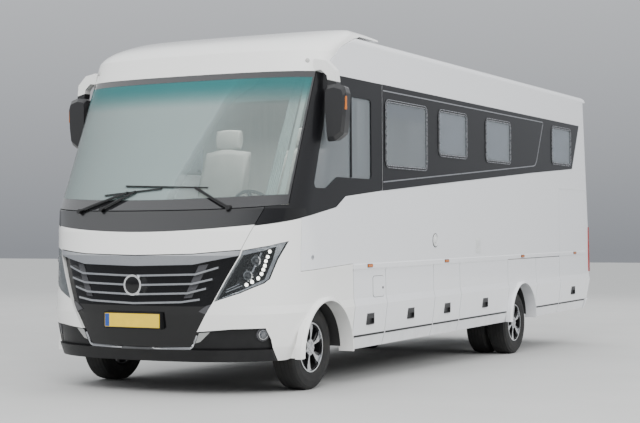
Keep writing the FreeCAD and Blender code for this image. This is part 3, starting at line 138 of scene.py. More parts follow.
class Flow:
    """The value that leaves one socket. Sums and products of flows become Math nodes."""

    __add__, __radd__ = joined("ADD"), joined("ADD", True)
    __sub__, __rsub__ = joined("SUBTRACT"), joined("SUBTRACT", True)
    __mul__, __rmul__ = joined("MULTIPLY"), joined("MULTIPLY", True)
    __pow__, most = joined("POWER"), joined("MAXIMUM")
    __abs__, wave, part = alone("ABSOLUTE"), alone("SINE"), alone("FRACT")

    def __init__(self, finish, socket):
        self.finish = finish
        self.socket = socket

    def rise(self, low, high):
        """0 below low, 1 above high, and smooth between them."""
        return self.finish.node("ShaderNodeMapRange", {"interpolation_type": "SMOOTHSTEP"},
                                {"Value": self, "From Min": low, "From Max": high})

    def axes(self):
        """The three parts of a vector."""
        split = self.finish.node("ShaderNodeSeparateXYZ", {}, {0: self}, raw=True)
        return [Flow(self.finish, s) for s in split.outputs]


class Finish:
    """A material under construction."""

    def __init__(self, name):
        self.material = bpy.data.materials.new(name)
        self.material.use_nodes = True
        self.tree = self.material.node_tree
        self.tree.nodes.clear()
        self.end = self.tree.nodes.new("ShaderNodeOutputMaterial")

    def node(self, kind, settings=None, sockets=None, out=0, raw=False):
        """Adds a node, sets its settings and then its sockets, and returns one of its outputs."""
        made = self.tree.nodes.new(kind)
        for key, value in (settings or {}).items():
            setattr(made, key, value)
        for key, value in (sockets or {}).items():
            if isinstance(value, Flow):
                self.tree.links.new(value.socket, made.inputs[key])
            else:
                made.inputs[key].default_value = value
        return made if raw else Flow(self, made.outputs[out])

    def object_point(self):
        return self.node("ShaderNodeTexCoord", out=3)

    def noise(self, scale, detail=3.0, stretch=(1, 1, 1)):
        """Cloudy values from 0 to 1; stretch squeezes the clouds along the axes."""
        point = self.object_point()
        if stretch != (1, 1, 1):
            point = self.node("ShaderNodeMapping", {}, {"Vector": point, "Scale": stretch})
        return self.node("ShaderNodeTexNoise", {}, {"Vector": point, "Scale": scale, "Detail": detail})

    def blend(self, mask, low, high):
        """A colour that goes from low to high with the mask."""
        low = (*low, 1) if isinstance(low, tuple) else low
        high = (*high, 1) if isinstance(high, tuple) else high
        return self.node("ShaderNodeMix", {"data_type": "RGBA"}, {0: mask, 6: low, 7: high}, out=2)

    def bump(self, height, strength, distance=0.001):
        return self.node("ShaderNodeBump", {}, {"Height": height, "Strength": strength, "Distance": distance})

    def principled(self, **sockets):
        """The main shader; words joined by _ are its socket names."""
        named = {}
        for key, value in sockets.items():
            value = (*value, 1) if isinstance(value, tuple) and len(value) == 3 else value
            named[key.replace("_", " ").title().replace("Ior", "IOR")] = value
        return self.node("ShaderNodeBsdfPrincipled", {}, named)

    def finished(self, shader):
        self.tree.links.new(shader.socket, self.end.inputs["Surface"])
        return self.material


print("shader classes ready")

# %% [markdown]
# Lines on the body, such as the edge of a painted band, follow the body's own level lines and
# not the ground. Inside a shader the rake is undone with two sums, which give the place along
# the coach and the height above the level lines.

# %% Body places inside a shader


def body_axes(finish):
    """Across, along and up on the body's own level lines, as three flows."""
    x, y, z = finish.object_point().axes()
    along = y - FRONT_AXLE_Y
    back = along * math.cos(RAKE) + z * math.sin(RAKE)
    up = z * math.cos(RAKE) - along * math.sin(RAKE)
    return x, back, up


# %% [markdown]
# Coach paint is a coloured base under a clear coat. The coat is very even, but never perfect:
# a long soft waviness shows in reflections, and near the sills fine road dust dulls it. Both
# are made from noise, one as a weak bump, the other as a mask that rises towards the ground.

# %% Body paints
WHITE = (0.86, 0.86, 0.84)
SIDE_WHITE = (0.80, 0.81, 0.83)
DUST = (0.47, 0.455, 0.43)
GRAPHITE = (0.005, 0.005, 0.006)
FLAKE = (0.022, 0.022, 0.026)
DUST_SHARE = 0.22
WAVE_SCALE = 2.2
WAVE_HEIGHT = 0.012


def road_dust(finish, top=0.75):
    """Mask of the dust that road spray leaves low down on the body."""
    _, _, z = finish.object_point().axes()
    return (1 - z.rise(0.2, top)) * finish.noise(9, 5).rise(0.35, 0.75)


def waves(finish, strength=0.06):
    """The long, soft waviness of a painted panel."""
    return finish.bump(finish.noise(WAVE_SCALE, 1), strength, WAVE_HEIGHT)


def white_paint(name, colour, coat_roughness=0.03):
    finish = Finish(name)
    dust = road_dust(finish)
    base = finish.blend(dust * DUST_SHARE, colour, DUST)
    wavy = finish.noise(WAVE_SCALE, 1) + finish.noise(160, 2) * 0.006
    shader = finish.principled(base_color=base, roughness=0.32 + dust * 0.25, coat_weight=1 - dust * 0.6,
                               coat_roughness=coat_roughness, normal=finish.bump(wavy, 0.06, WAVE_HEIGHT))
    return finish.finished(shader)


def flaked(finish, flakes):
    """Dark metallic colour with fine bright flakes."""
    return finish.blend(flakes * 0.5, GRAPHITE, FLAKE)


def graphite_paint(name):
    """Dark metallic paint with fine flakes under a clear coat."""
    finish = Finish(name)
    flakes = finish.noise(900, 2).rise(0.58, 0.72)
    dust = road_dust(finish)
    base = finish.blend(dust * 0.25, flaked(finish, flakes), DUST)
    shader = finish.principled(base_color=base, metallic=flakes * 0.35, roughness=0.40, coat_weight=0.45,
                               specular_ior_level=0.2, coat_roughness=0.03, normal=waves(finish, 0.05))
    return finish.finished(shader)


paint_front = white_paint("white_moulding_paint", WHITE)
paint_side = white_paint("white_side_paint", SIDE_WHITE, 0.05)
paint_graphite = graphite_paint("graphite_paint")
print("body paints:", paint_front.name, paint_side.name, paint_graphite.name)

# %% [markdown]
# The service flap below the windscreen is one panel in two colours: graphite above, white below.
# The line between them is a shallow arc that climbs towards the corners, so the mask compares
# the height with a curve of the distance from the middle.

# %% Two-coloured flap
BAND_LINE_MIDDLE = 1.317
BAND_LINE_CLIMB = 0.060


def two_coloured_paint(name):
    finish = Finish(name)
    x, _, up = body_axes(finish)
    line = BAND_LINE_MIDDLE + x * x * BAND_LINE_CLIMB
    dark = (up - line).rise(-0.0008, 0.0008)
    flakes = finish.noise(900, 2).rise(0.58, 0.72) * dark
    base = finish.blend(dark, WHITE, flaked(finish, flakes))
    shader = finish.principled(base_color=base, roughness=0.34, coat_weight=1.0, coat_roughness=0.02,
                               normal=waves(finish))
    return finish.finished(shader)


paint_flap = two_coloured_paint("two_coloured_flap_paint")
print("flap line at", BAND_LINE_MIDDLE, "m in the middle")

# %% [markdown]
# Plastics, rubber, metals and cloth come next. Each is one short function of the same kind:
# a base colour broken up by noise, a roughness that varies with wear, and a fine bump at the
# real grain's scale, given in metres.

# %% Plastics, rubber and metals


def moulded_plastic(name, colour, roughness=0.5, grain=700, depth=0.25):
    """Grained plastic, with lighter dusty patches."""
    finish = Finish(name)
    cells = finish.node("ShaderNodeTexVoronoi", {}, {"Vector": finish.object_point(), "Scale": grain})
    patches = finish.noise(6, 4)
    lighter = tuple(min(1, c * 1.35 + 0.006) for c in colour)
    base = finish.blend(patches.rise(0.3, 0.8) * 0.6, colour, lighter)
    shader = finish.principled(base_color=base, roughness=roughness + patches * 0.16 - 0.08,
                               specular_ior_level=0.3, normal=finish.bump(cells, depth, 0.0004))
    return finish.finished(shader)


def gloss_plastic(name, colour, roughness=0.12):
    """Polished plastic such as piano black or a lamp bowl."""
    finish = Finish(name)
    smears = finish.noise(14, 5)
    base = finish.blend(smears.rise(0.45, 0.8) * 0.3, colour, tuple(c * 1.3 + 0.003 for c in colour))
    shader = finish.principled(base_color=base, roughness=roughness + smears * 0.08, coat_weight=0.4,
                               coat_roughness=0.04, specular_ior_level=0.3,
                               normal=finish.bump(finish.noise(5, 1), 0.04, 0.006))
    return finish.finished(shader)


def bright_metal(name, colour, roughness=0.08, brushed=False):
    """Plated or polished metal; brushed metal has fine lines along the coach."""
    finish = Finish(name)
    haze = finish.noise(11, 5)
    lines = finish.noise(260, 2, (1, 0.02, 1)) if brushed else finish.noise(60, 3)
    base = finish.blend(haze.rise(0.4, 0.8) * 0.25, colour, tuple(c * 0.82 for c in colour))
    shader = finish.principled(base_color=base, metallic=1.0, roughness=roughness + haze * 0.10,
                               normal=finish.bump(lines, 0.12 if brushed else 0.03, 0.0006))
    return finish.finished(shader)


def cast_metal(name, colour, roughness=0.6):
    """Rough iron and chassis steel with a skin of black paint and a little rust bloom."""
    finish = Finish(name)
    bloom = finish.noise(7, 6).rise(0.56, 0.74)
    base = finish.blend(bloom * 0.5, colour, (0.09, 0.05, 0.03))
    shader = finish.principled(base_color=base, metallic=0.35, roughness=roughness + bloom * 0.25,
                               normal=finish.bump(finish.noise(180, 4), 0.4, 0.0012))
    return finish.finished(shader)


lip_plastic = moulded_plastic("black_lip_plastic", (0.009, 0.009, 0.0095), 0.46)
liner_plastic = moulded_plastic("arch_liner_plastic", (0.03, 0.03, 0.03), 0.8, 350, 0.5)
dash_plastic = moulded_plastic("dashboard_grain", (0.36, 0.40, 0.40), 0.62, 900, 0.4)
piano_black = gloss_plastic("piano_black", (0.003, 0.003, 0.0035))
lamp_bowl = gloss_plastic("lamp_bowl_black", (0.012, 0.013, 0.015), 0.22)
chrome = bright_metal("chrome_plate", (0.86, 0.87, 0.88))
satin_silver = bright_metal("satin_silver", (0.62, 0.63, 0.65), 0.24, True)
mirror_silver = bright_metal("mirror_glass", (0.74, 0.76, 0.78), 0.01)
silver_facet = bright_metal("silver_facet", (0.50, 0.51, 0.50), 0.3)
brushed_steel = bright_metal("brake_steel", (0.34, 0.34, 0.35), 0.35)
facet_black = gloss_plastic("facet_black", (0.06, 0.06, 0.065), 0.22)
plate_yellow = gloss_plastic("plate_yellow", (0.80, 0.56, 0.03), 0.38)
plate_blue = gloss_plastic("plate_blue", (0.02, 0.07, 0.30), 0.38)
vent_white = moulded_plastic("vent_white_plastic", (0.62, 0.63, 0.63), 0.42, 1200, 0.12)
liner_light = moulded_plastic("light_trim_plastic", (0.60, 0.61, 0.59), 0.55, 900, 0.2)
chassis_black = cast_metal("chassis_black", (0.03, 0.03, 0.031))
iron = cast_metal("cast_iron", (0.075, 0.07, 0.068), 0.7)
print("plastics and metals ready")

# %% [markdown]
# Glass on a coach is a thin sheet, not a block that bends what lies behind it. A mix of a
# see-through shader and a mirror-like one, driven by Fresnel, gives the reflections of a sheet
# and lets light fall into the cab. The screen's rim carries a printed black border, and its
# head a green tint that fades downwards: both are masks over the body's own lines.

# %% Glass
SCREEN_HALF = 1.122
SCREEN_FOOT = 1.49
SCREEN_HEAD = 2.64
FOOT_BORDER = 0.085
HEAD_BORDER = 0.052
SIDE_BORDER = 0.012
TINT_START = 0.30
TINT_LENGTH = 0.22


def sheet_glass(name, tint, gloss=1.0, haze=0.0):
    """Plain window glass; haze lays a weak pale film over it, as dust and reflection do."""
    finish = Finish(name)
    clear = finish.node("ShaderNodeBsdfTransparent", {}, {"Color": (*tint, 1)})
    smears = finish.noise(5, 4)
    film = finish.principled(base_color=(0.35, 0.37, 0.38), roughness=0.02 + smears * 0.03,
                             specular_ior_level=0.8)
    veil = finish.node("ShaderNodeFresnel", {}, {"IOR": 1.52}) * gloss + smears * 0.02 + haze
    return finish.finished(finish.node("ShaderNodeMixShader", {}, {0: veil, 1: clear, 2: film}))


def screen_glass(name):
    finish = Finish(name)
    x, back, up = body_axes(finish)
    foot_line = SCREEN_FOOT + FOOT_BORDER + x * x * 0.03
    head_line = SCREEN_HEAD - HEAD_BORDER
    rim = (1 - (up - foot_line).rise(-0.004, 0.004)).most((up - head_line).rise(-0.004, 0.004))
    rim = rim.most((abs(x) - (SCREEN_HALF - SIDE_BORDER)).rise(-0.003, 0.003))
    tint = (up - (SCREEN_HEAD - TINT_START)).rise(0.0, TINT_LENGTH)
    tone = finish.blend(tint, (0.90, 0.95, 0.94), (0.22, 0.55, 0.55))
    clear = finish.node("ShaderNodeBsdfTransparent", {}, {"Color": tone})
    smears = finish.noise(3, 3)
    gloss = finish.principled(base_color=finish.blend(tint, (0.40, 0.45, 0.45), (0.10, 0.34, 0.35)),
                              roughness=0.02 + smears * 0.03, specular_ior_level=0.5)
    border = finish.principled(base_color=finish.blend(finish.noise(600, 2) * 0.3, (0.012, 0.012, 0.013),
                                                       (0.04, 0.04, 0.045)), roughness=0.1, coat_weight=1.0,
                               coat_roughness=0.02)
    veil = finish.node("ShaderNodeFresnel", {}, {"IOR": 1.45}) * 0.9 + 0.10 + smears * 0.06 + tint * 0.12
    glass = finish.node("ShaderNodeMixShader", {}, {0: veil, 1: clear, 2: gloss})
    return finish.finished(finish.node("ShaderNodeMixShader", {}, {0: rim, 1: glass, 2: border}))


windscreen_glass = screen_glass("windscreen_glass")
window_glass = sheet_glass("window_glass", (0.84, 0.86, 0.88), 0.8, 0.0)
lens_glass = sheet_glass("lamp_lens_glass", (0.93, 0.94, 0.95), 0.9, 0.0)
print("glass ready, screen from", SCREEN_FOOT, "to", SCREEN_HEAD)

# %% [markdown]
# Inside the coach there are a wood floor, laminate walls and leather seats. Behind the dark
# glass they show only faintly, but the floor and walls still need their grain, because the
# doors and lids open. Wood is stretched noise, and leather is a cell pattern used as bump.

# %% Cabin finishes


def wood_floor(name):
    finish = Finish(name)
    x, _, _ = finish.object_point().axes()
    grain = finish.noise(30, 6, (1, 0.06, 1))
    seam = 1 - abs((x * 8).part() - 0.5).rise(0.0, 0.03)
    base = finish.blend(grain.rise(0.3, 0.7), (0.16, 0.105, 0.065), (0.27, 0.19, 0.12))
    base = finish.blend(seam * 0.8, base, (0.03, 0.02, 0.015))
    shader = finish.principled(base_color=base, roughness=0.45 + grain * 0.15, coat_weight=0.2,
                               normal=finish.bump(grain - seam, 0.2, 0.001))
    return finish.finished(shader)


def laminate(name, colour):
    finish = Finish(name)
    streak = finish.noise(24, 5, (1, 1, 0.05))
    base = finish.blend(streak.rise(0.35, 0.7) * 0.5, colour, tuple(c * 0.86 for c in colour))
    shader = finish.principled(base_color=base, roughness=0.48, normal=finish.bump(streak, 0.08, 0.001))
    return finish.finished(shader)


def leather(name, colour):
    finish = Finish(name)
    cells = finish.node("ShaderNodeTexVoronoi", {"feature": "DISTANCE_TO_EDGE"},
                        {"Vector": finish.object_point(), "Scale": 420})
    wear = finish.noise(8, 5)
    base = finish.blend(wear.rise(0.4, 0.75) * 0.5, colour, tuple(c * 0.8 for c in colour))
    shader = finish.principled(base_color=base, roughness=0.46 + wear * 0.12,
                               normal=finish.bump(cells.rise(0.0, 0.25), 0.35, 0.0005))
    return finish.finished(shader)


def woven_cloth(name, colour, thread=900):
    finish = Finish(name)
    x, y, z = finish.object_point().axes()
    weave = ((y + x) * thread * 2).wave() * 0.5 + (z * thread * 2).wave() * 0.5
    shade = finish.noise(3, 3)
    base = finish.blend(shade.rise(0.3, 0.7) * 0.4, colour, tuple(c * 0.8 for c in colour))
    shader = finish.principled(base_color=base, roughness=0.85 + shade * 0.1,
                               normal=finish.bump(weave, 0.15, 0.0004))
    return finish.finished(shader)


blind_cloth = woven_cloth("blind_cloth", (0.62, 0.65, 0.74))
shade_cloth = woven_cloth("dark_blue_shade_cloth", (0.035, 0.05, 0.16))
curtain_cloth = woven_cloth("curtain_cloth", (0.72, 0.75, 0.74))
floor_wood = wood_floor("plank_floor")
cabin_laminate = laminate("cabin_laminate", (0.56, 0.55, 0.52))
room_lining = laminate("locker_lining", (0.36, 0.37, 0.38))
seat_leather = leather("seat_leather", (0.40, 0.38, 0.35))
dark_leather = leather("wheel_leather", (0.03, 0.03, 0.032))
print("cabin finishes ready")

# %% [markdown]
# Lamps need plastic that glows when it catches light. A red or amber lens is a coloured glossy
# plastic with fine ribs inside, and a daytime lamp is a small white emitter.

# %% Lamp finishes


def ribbed_lens(name, colour, ribs=260):
    finish = Finish(name)
    _, _, z = finish.object_point().axes()
    rib = (z * (ribs * math.pi)).wave()
    tone = finish.blend(rib.rise(-0.6, 0.9), tuple(c * 0.55 for c in colour), colour)
    shader = finish.principled(base_color=tone, roughness=0.12, coat_weight=1.0, coat_roughness=0.03,
                               normal=finish.bump(rib, 0.2, 0.0006))
    return finish.finished(shader)


def lit_lamp(name, colour, strength):
    """Daytime running lamp: an emitter, a little brighter at its middle."""
    finish = Finish(name)
    glow = finish.node("ShaderNodeLayerWeight", {}, {"Blend": 0.3}, out=1)
    tone = finish.blend(glow, colour, tuple(c * 0.6 for c in colour))
    shader = finish.principled(base_color=(0.9, 0.9, 0.88), roughness=0.3, emission_color=tone,
                               emission_strength=strength)
    return finish.finished(shader)


def lamp_eye(name):
    """Solid glass of a projector with its base colour painted: dark at its middle as painted shade of the
    lamp's inside, and light at its rim as painted reflection.
    """
    finish = Finish(name)
    painted_rim_reflection = finish.node("ShaderNodeLayerWeight", {}, {"Blend": 0.5}, out=1)
    ripple = finish.noise(90, 2)
    # Painted reflection and shade: the base colour is light where the glass turns away from the view, and
    # dark where it faces the view.
    base = finish.blend(painted_rim_reflection.rise(0.15, 0.75), (0.05, 0.055, 0.06), (0.72, 0.75, 0.78))
    shader = finish.principled(base_color=base, roughness=0.03 + ripple * 0.04, coat_weight=1.0,
                               coat_roughness=0.01, normal=finish.bump(ripple, 0.05, 0.0005))
    return finish.finished(shader)


red_lens = ribbed_lens("red_lamp_lens", (0.42, 0.012, 0.012))
amber_lens = ribbed_lens("amber_lamp_lens", (0.72, 0.20, 0.02))
white_lens = ribbed_lens("white_lamp_lens", (0.62, 0.62, 0.60))
daylight_lamp = lit_lamp("daytime_lamp", (1.0, 0.97, 0.88), 5.0)
projector_glass = lamp_eye("projector_glass")
roof_acrylic = gloss_plastic("roof_light_acrylic", (0.60, 0.62, 0.64), 0.25)
print("lamp finishes ready")

# %% [markdown]
# Some solids carry two or three finishes, as the real parts do. A mask over a place on the part
# parts them: bright beads stand above a dark groove on a window frame, the arm of a mirror is
# white over a black head, a lid is white round its black handle, and the blades of a wheel are
# cut bright while everything behind them is black. A tyre's sidewall has fine rings, and its
# tread is cut into blocks whose cuts are painted darker, as painted shade.

# %% Finishes with masks
HALF_WIDTH = 1.180
HANDLES = {"left": (0.858, 1.745, 2.645, 3.705, 6.810), "right": (1.013, 3.860, 6.810)}
HANDLE_SPAN = (0.076, 0.540, 0.050)
BLACK_PLASTIC = (0.018, 0.018, 0.019)
BEAD_PROUD = 0.010
ARM_Z = 2.548
ARM_SLOPE = 0.25
ARM_X = 1.30
HUB_Z = 0.35
FRONT_FACE_X = 1.029
REAR_FACE_X = 1.081
FLANGE_RADIUS = 0.198
BLOCKS_PER_RADIAN = 34
GROOVES_PER_METRE = 27
TREAD_RADIUS = 0.338
RIM_RADIUS = 0.225


def masked(finish, mask, low, high, normal):
    """Main shader that goes from one set to another: colour, metal, roughness and coat."""
    shares = [a + mask * (b - a) for a, b in zip(low[1:], high[1:])]
    shader = finish.principled(base_color=finish.blend(mask, low[0], high[0]), metallic=shares[0],
                               roughness=shares[1], coat_weight=shares[2], normal=normal)
    return finish.finished(shader)


def frame_beads(name):
    finish = Finish(name)
    x, _, _ = body_axes(finish)
    bead = (abs(x) - HALF_WIDTH).rise(BEAD_PROUD - 0.0005, BEAD_PROUD + 0.0005)
    grime = finish.noise(30, 4)
    return masked(finish, bead, ((0.010, 0.010, 0.011), 0.0, 0.4, 0.0),
                  ((0.52, 0.53, 0.55), 0.9, grime * 0.15 + 0.2, 0.0), finish.bump(grime, 0.05, 0.0005))


def mirror_shell(name):
    finish = Finish(name)
    x, _, up = body_axes(finish)
    arm = (up + (abs(x) - ARM_X) * ARM_SLOPE).rise(ARM_Z - 0.003, ARM_Z + 0.003)
    grain = finish.noise(700, 2)
    return masked(finish, arm, (BLACK_PLASTIC, 0.0, grain * 0.2 + 0.25, 0.3), (WHITE, 0.0, 0.3, 1.0),
                  finish.bump(grain, 0.08, 0.0003))


def lid_paint(name, handles):
    finish = Finish(name)
    _, back, up = body_axes(finish)
    half, middle_z, half_z = HANDLE_SPAN
    dark = None
    for y in handles:
        mask = 1 - abs(back - y).rise(half, half + 0.001)
        mask = mask * (1 - abs(up - middle_z).rise(half_z, half_z + 0.001))
        dark = mask if dark is None else dark.most(mask)
    dust = road_dust(finish)
    white = finish.blend(dust * DUST_SHARE, SIDE_WHITE, DUST)
    return masked(finish, dark, (white, 0.0, dust * 0.25 + 0.32, 1.0), (BLACK_PLASTIC, 0.0, 0.45, 0.1),
                  waves(finish))


def hub_distance(finish, hub_y):
    """Distance from a wheel's axis and from the coach's middle, then the two parts of the first."""
    x, y, z = finish.object_point().axes()
    return ((y - hub_y) ** 2 + (z - HUB_Z) ** 2) ** 0.5, abs(x), y - hub_y, z - HUB_Z


def wheel_alloy(name, hub_y, face_x):
    """Bright cut blades and flange over black paint."""
    finish = Finish(name)
    radius, x, _, _ = hub_distance(finish, hub_y)
    flange = radius.rise(FLANGE_RADIUS - 0.0005, FLANGE_RADIUS + 0.0005) * (x - face_x).rise(0.001, 0.002)
    bright = (x - face_x).rise(-0.0012, -0.0006).most(flange)
    turned = (radius * 5200).wave()
    return masked(finish, bright, ((0.012, 0.012, 0.013), 0.0, 0.3, 0.6),
                  ((0.66, 0.67, 0.69), 1.0, finish.noise(40, 3) * 0.14 + 0.16, 0.3),
                  finish.bump(turned, 0.04, 0.0002))


def tyre_with_tread(name, hub_y):
    """Rubber with rings on the sidewall and cut blocks round the tread, whose cuts are painted darker as
    painted shade.
    """
    finish = Finish(name)
    radius, x, dy, dz = hub_distance(finish, hub_y)
    dust = finish.noise(13, 6).rise(0.42, 0.78)
    angle = finish.node("ShaderNodeMath", {"operation": "ARCTAN2"}, {0: dz, 1: dy})
    tread = radius.rise(TREAD_RADIUS, TREAD_RADIUS + 0.005)
    cross = (angle * BLOCKS_PER_RADIAN + x * 9).part() - 0.5
    cuts = abs(cross).rise(0.40, 0.44)
    grooves = abs((x * GROOVES_PER_METRE).part() - 0.5).rise(0.38, 0.42)
    rings = (radius * 900).wave().rise(0.5, 1.0) * (1 - tread) * radius.rise(RIM_RADIUS, RIM_RADIUS + 0.01)
    height = (1 - cuts.most(grooves)) * tread * 4 + rings * 0.25 + finish.noise(420, 3) * 0.15
    base = finish.blend(dust * 0.35, (0.016, 0.016, 0.016), (0.075, 0.07, 0.062))
    # Painted shade: the cuts and grooves of the tread are only a bump, and are also painted darker.
    base = finish.blend(cuts.most(grooves) * tread * 0.7, base, (0.006, 0.006, 0.006))
    shader = finish.principled(base_color=base, roughness=0.74 + dust * 0.16,
                               normal=finish.bump(height, 0.6, 0.0022))
    return finish.finished(shader)


REAR_AXLE_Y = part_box("tyres_rear_left")[0].lerp(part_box("tyres_rear_left")[1], 0.5).y
frame_finish = frame_beads("window_frame_beads")
mirror_finish = mirror_shell("mirror_shell")
lid_finish = {side: lid_paint("lid_paint_" + side, places) for side, places in HANDLES.items()}
alloy_front = wheel_alloy("front_wheel_alloy", FRONT_AXLE_Y, FRONT_FACE_X)
alloy_rear = wheel_alloy("rear_wheel_alloy", REAR_AXLE_Y, REAR_FACE_X)
rubber_front = tyre_with_tread("front_tyre_rubber", FRONT_AXLE_Y)
rubber_rear = tyre_with_tread("rear_tyre_rubber", REAR_AXLE_Y)
print("masked finishes ready")

# %% [markdown]
# Now each solid of the frame gets its finish. The solids stay as they are, and only the
# material in their slots changes.

# %% Dress the solids
WEARS = [
    (paint_front, "front_cap front_mask"), (paint_flap, "service_flap"),
    (paint_side, "roof side_wall_left side_wall_right rear_wall skirt_left skirt_right entry_door"),
    (paint_side, "rear_bumper"), (paint_graphite, "cab_sides window_bands"),
    (windscreen_glass, "windscreen"), (window_glass, "side_glass"),
    (lens_glass, "headlamp_lenses"), (lamp_bowl, "headlamp_housings"), (frame_finish, "window_frames"),
    (roof_acrylic, "roof_lights"), (red_lens, "tail_lamps"), (piano_black, "grille_surround"),
    (chrome, "grille_bars"), (lip_plastic, "bumper wipers"), (mirror_finish, "mirrors"),
    (dash_plastic, "dashboard"), (dark_leather, "steering_wheel"), (seat_leather, "cab_seats"),
    (cabin_laminate, "partition"), (floor_wood, "floor"), (room_lining, "garage_room locker_boxes"),
    (liner_plastic, "wheel_housings"), (satin_silver, "entry_step"),
    (chassis_black, "fuel_tank propshaft chassis_frame leaf_springs"),
    (iron, "engine front_axle rear_axle knuckle_left knuckle_right tie_rod"),
    (alloy_front, "rim_front_left rim_front_right"), (alloy_rear, "rims_rear_left rims_rear_right"),
    (rubber_front, "tyre_front_left tyre_front_right"), (rubber_rear, "tyres_rear_left tyres_rear_right"),
]
FINISH_OF = {name: finish for finish, names in WEARS for name in names.split()}
for name, node in nodes.items():
    if name.startswith(("locker_left", "locker_right", "garage_door")):
        FINISH_OF[name] = lid_finish["left" if "left" in name else "right"]
    node.data.materials.clear()
    node.data.materials.append(FINISH_OF[name])
print(len(nodes), "solids dressed")

# %% [markdown]
# Small fittings are placed by what they sit on. A search tree over some solids answers the
# question "where does a line from the front, a side or the tail meet the body?", so that a lamp
# or a trim line that is given by two numbers lands exactly on the curved surface.

# %% Places on the surface
LOOKS = {
    "front": (lambda a, b: place(a, -3, b), (0, 1, 0)),
    "left": (lambda a, b: place(3, a, b), (-1, 0, 0)),
    "right": (lambda a, b: place(-3, a, b), (1, 0, 0)),
    "rear": (lambda a, b: place(a, 9, b), (0, -1, 0)),
}


def tree_of(*names):
    """Search tree over the surfaces of some solids."""
    verts, faces = [], []
    for name in names:
        mesh = nodes[name].data
        start = len(verts)
        verts += [v.co.copy() for v in mesh.vertices]
        faces += [[start + i for i in face.vertices] for face in mesh.polygons]
    return BVHTree.FromPolygons(verts, faces)


def on_skin(tree, look, a, b, lift=0.0):
    """Where the look from one side meets the surface, lifted off it, and the way out of the surface.

    Over a seam the look passes between two panels, and the depth is taken from just beside it."""
    origin, way = LOOKS[look]
    way = RAKE_TURN @ Vector(way)
    for reach in (0, 0.004, 0.008, 0.016, 0.03):
        for da, db in ((0, reach), (0, -reach), (reach, 0), (-reach, 0)):
            hit, out, _, depth = tree.ray_cast(origin(a + da, b + db), way)
            if hit is not None:
                out = -out if out.dot(way) > 0 else out
                return origin(a, b) + way * depth + out * lift, out
    raise ValueError("no surface at %s %.3f %.3f" % (look, a, b))


front_skin = tree_of("front_mask", "service_flap", "grille_surround", "bumper", "cab_sides")
lens_skin = tree_of("headlamp_lenses")
bowl_skin = tree_of("headlamp_housings")
print("chrome line meets the front at", [round(v, 3) for v in on_skin(front_skin, "front", 0.3, 0.39)[0]])

# %% [markdown]
# Four kinds of piece cover most fittings. A lathed piece turns an outline about an axis, for
# lamps, nuts and vents. A ribbon is a raised strip along a line on the body. A patch is a thin
# sheet inside an outline on the body. A block is a box with bevelled edges.

# %% Makers of fittings


def mesh_piece(name, verts, faces, finish, body="root", smooth=False, bevel=0.0):
    mesh = bpy.data.meshes.new(name)
    mesh.from_pydata([tuple(v) for v in verts], [], faces)
    mesh.materials.append(finish)
    tidy = bmesh.new()
    tidy.from_mesh(mesh)
    bmesh.ops.recalc_face_normals(tidy, faces=tidy.faces)
    if bevel:
        bmesh.ops.bevel(tidy, geom=tidy.edges, offset=bevel, segments=2, affect="EDGES", clamp_overlap=True)
    tidy.to_mesh(mesh)
    tidy.free()
    for face in mesh.polygons:
        face.use_smooth = smooth
    made = bpy.data.objects.new(name, mesh)
    bpy.context.scene.collection.objects.link(made)
    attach(made, body)
    return made


def lathe(name, outline, origin, axis, finish, body="root", sides=28):
    """Turns an outline of (radius, height) pairs about an axis through a point of the frame."""
    axis = Vector(axis).normalized()
    across = axis.orthogonal().normalized()
    upright = axis.cross(across)
    verts, faces = [], []
    for radius, height in outline:
        for i in range(sides):
            angle = 2 * math.pi * i / sides
            verts.append(Vector(origin) + axis * height
                         + (across * math.cos(angle) + upright * math.sin(angle)) * radius)
    for row in range(len(outline) - 1):
        for i in range(sides):
            j = (i + 1) % sides
            faces.append((row * sides + i, row * sides + j, (row + 1) * sides + j, (row + 1) * sides + i))
    for row in (0, len(outline) - 1):
        if outline[row][0] > 0.0005:
            faces.append(tuple(row * sides + i for i in range(sides)))
    made = mesh_piece(name, verts, faces, finish, body, True)
    made.data.set_sharp_from_angle(angle=math.radians(38))
    return made


def spaced(line, step, closed):
    """Points along a line at nearly even steps, with the line's own corners kept."""
    line = [Vector(p) for p in line] + ([Vector(line[0])] if closed else [])
    points = []
    for here, there in zip(line, line[1:]):
        count = max(1, math.ceil((there - here).length / step))
        points += [here.lerp(there, i / count) for i in range(count)]
    return points if closed else points + [line[-1]]


def ribbon(name, tree, look, line, width, proud, finish, body="root", step=0.03, closed=False, base=-0.002):
    """Raised strip along a line on the surface."""
    points = spaced(line, step, closed)
    count = len(points)
    verts, faces = [], []
    for i, point in enumerate(points):
        ahead = points[(i + 1) % count] if closed or i + 1 < count else point
        back = points[i - 1] if closed or i else point
        way = (ahead - back).normalized()
        leg = (ahead - point if ahead != point else point - back).normalized()
        side = Vector((-way.y, way.x)) * (width / 2 / max(0.5, abs(way.dot(leg))))
        for offset, lift in ((side, base), (side, proud), (-side, proud), (-side, base)):
            verts.append(on_skin(tree, look, *(point + offset), lift)[0])
    for i in range(count if closed else count - 1):
        j = (i + 1) % count
        faces += [(4 * i + k, 4 * j + k, 4 * j + (k + 1) % 4, 4 * i + (k + 1) % 4) for k in range(4)]
    if not closed:
        faces += [(0, 1, 2, 3), tuple(4 * count - 4 + k for k in range(4))]
    return mesh_piece(name, verts, faces, finish, body)


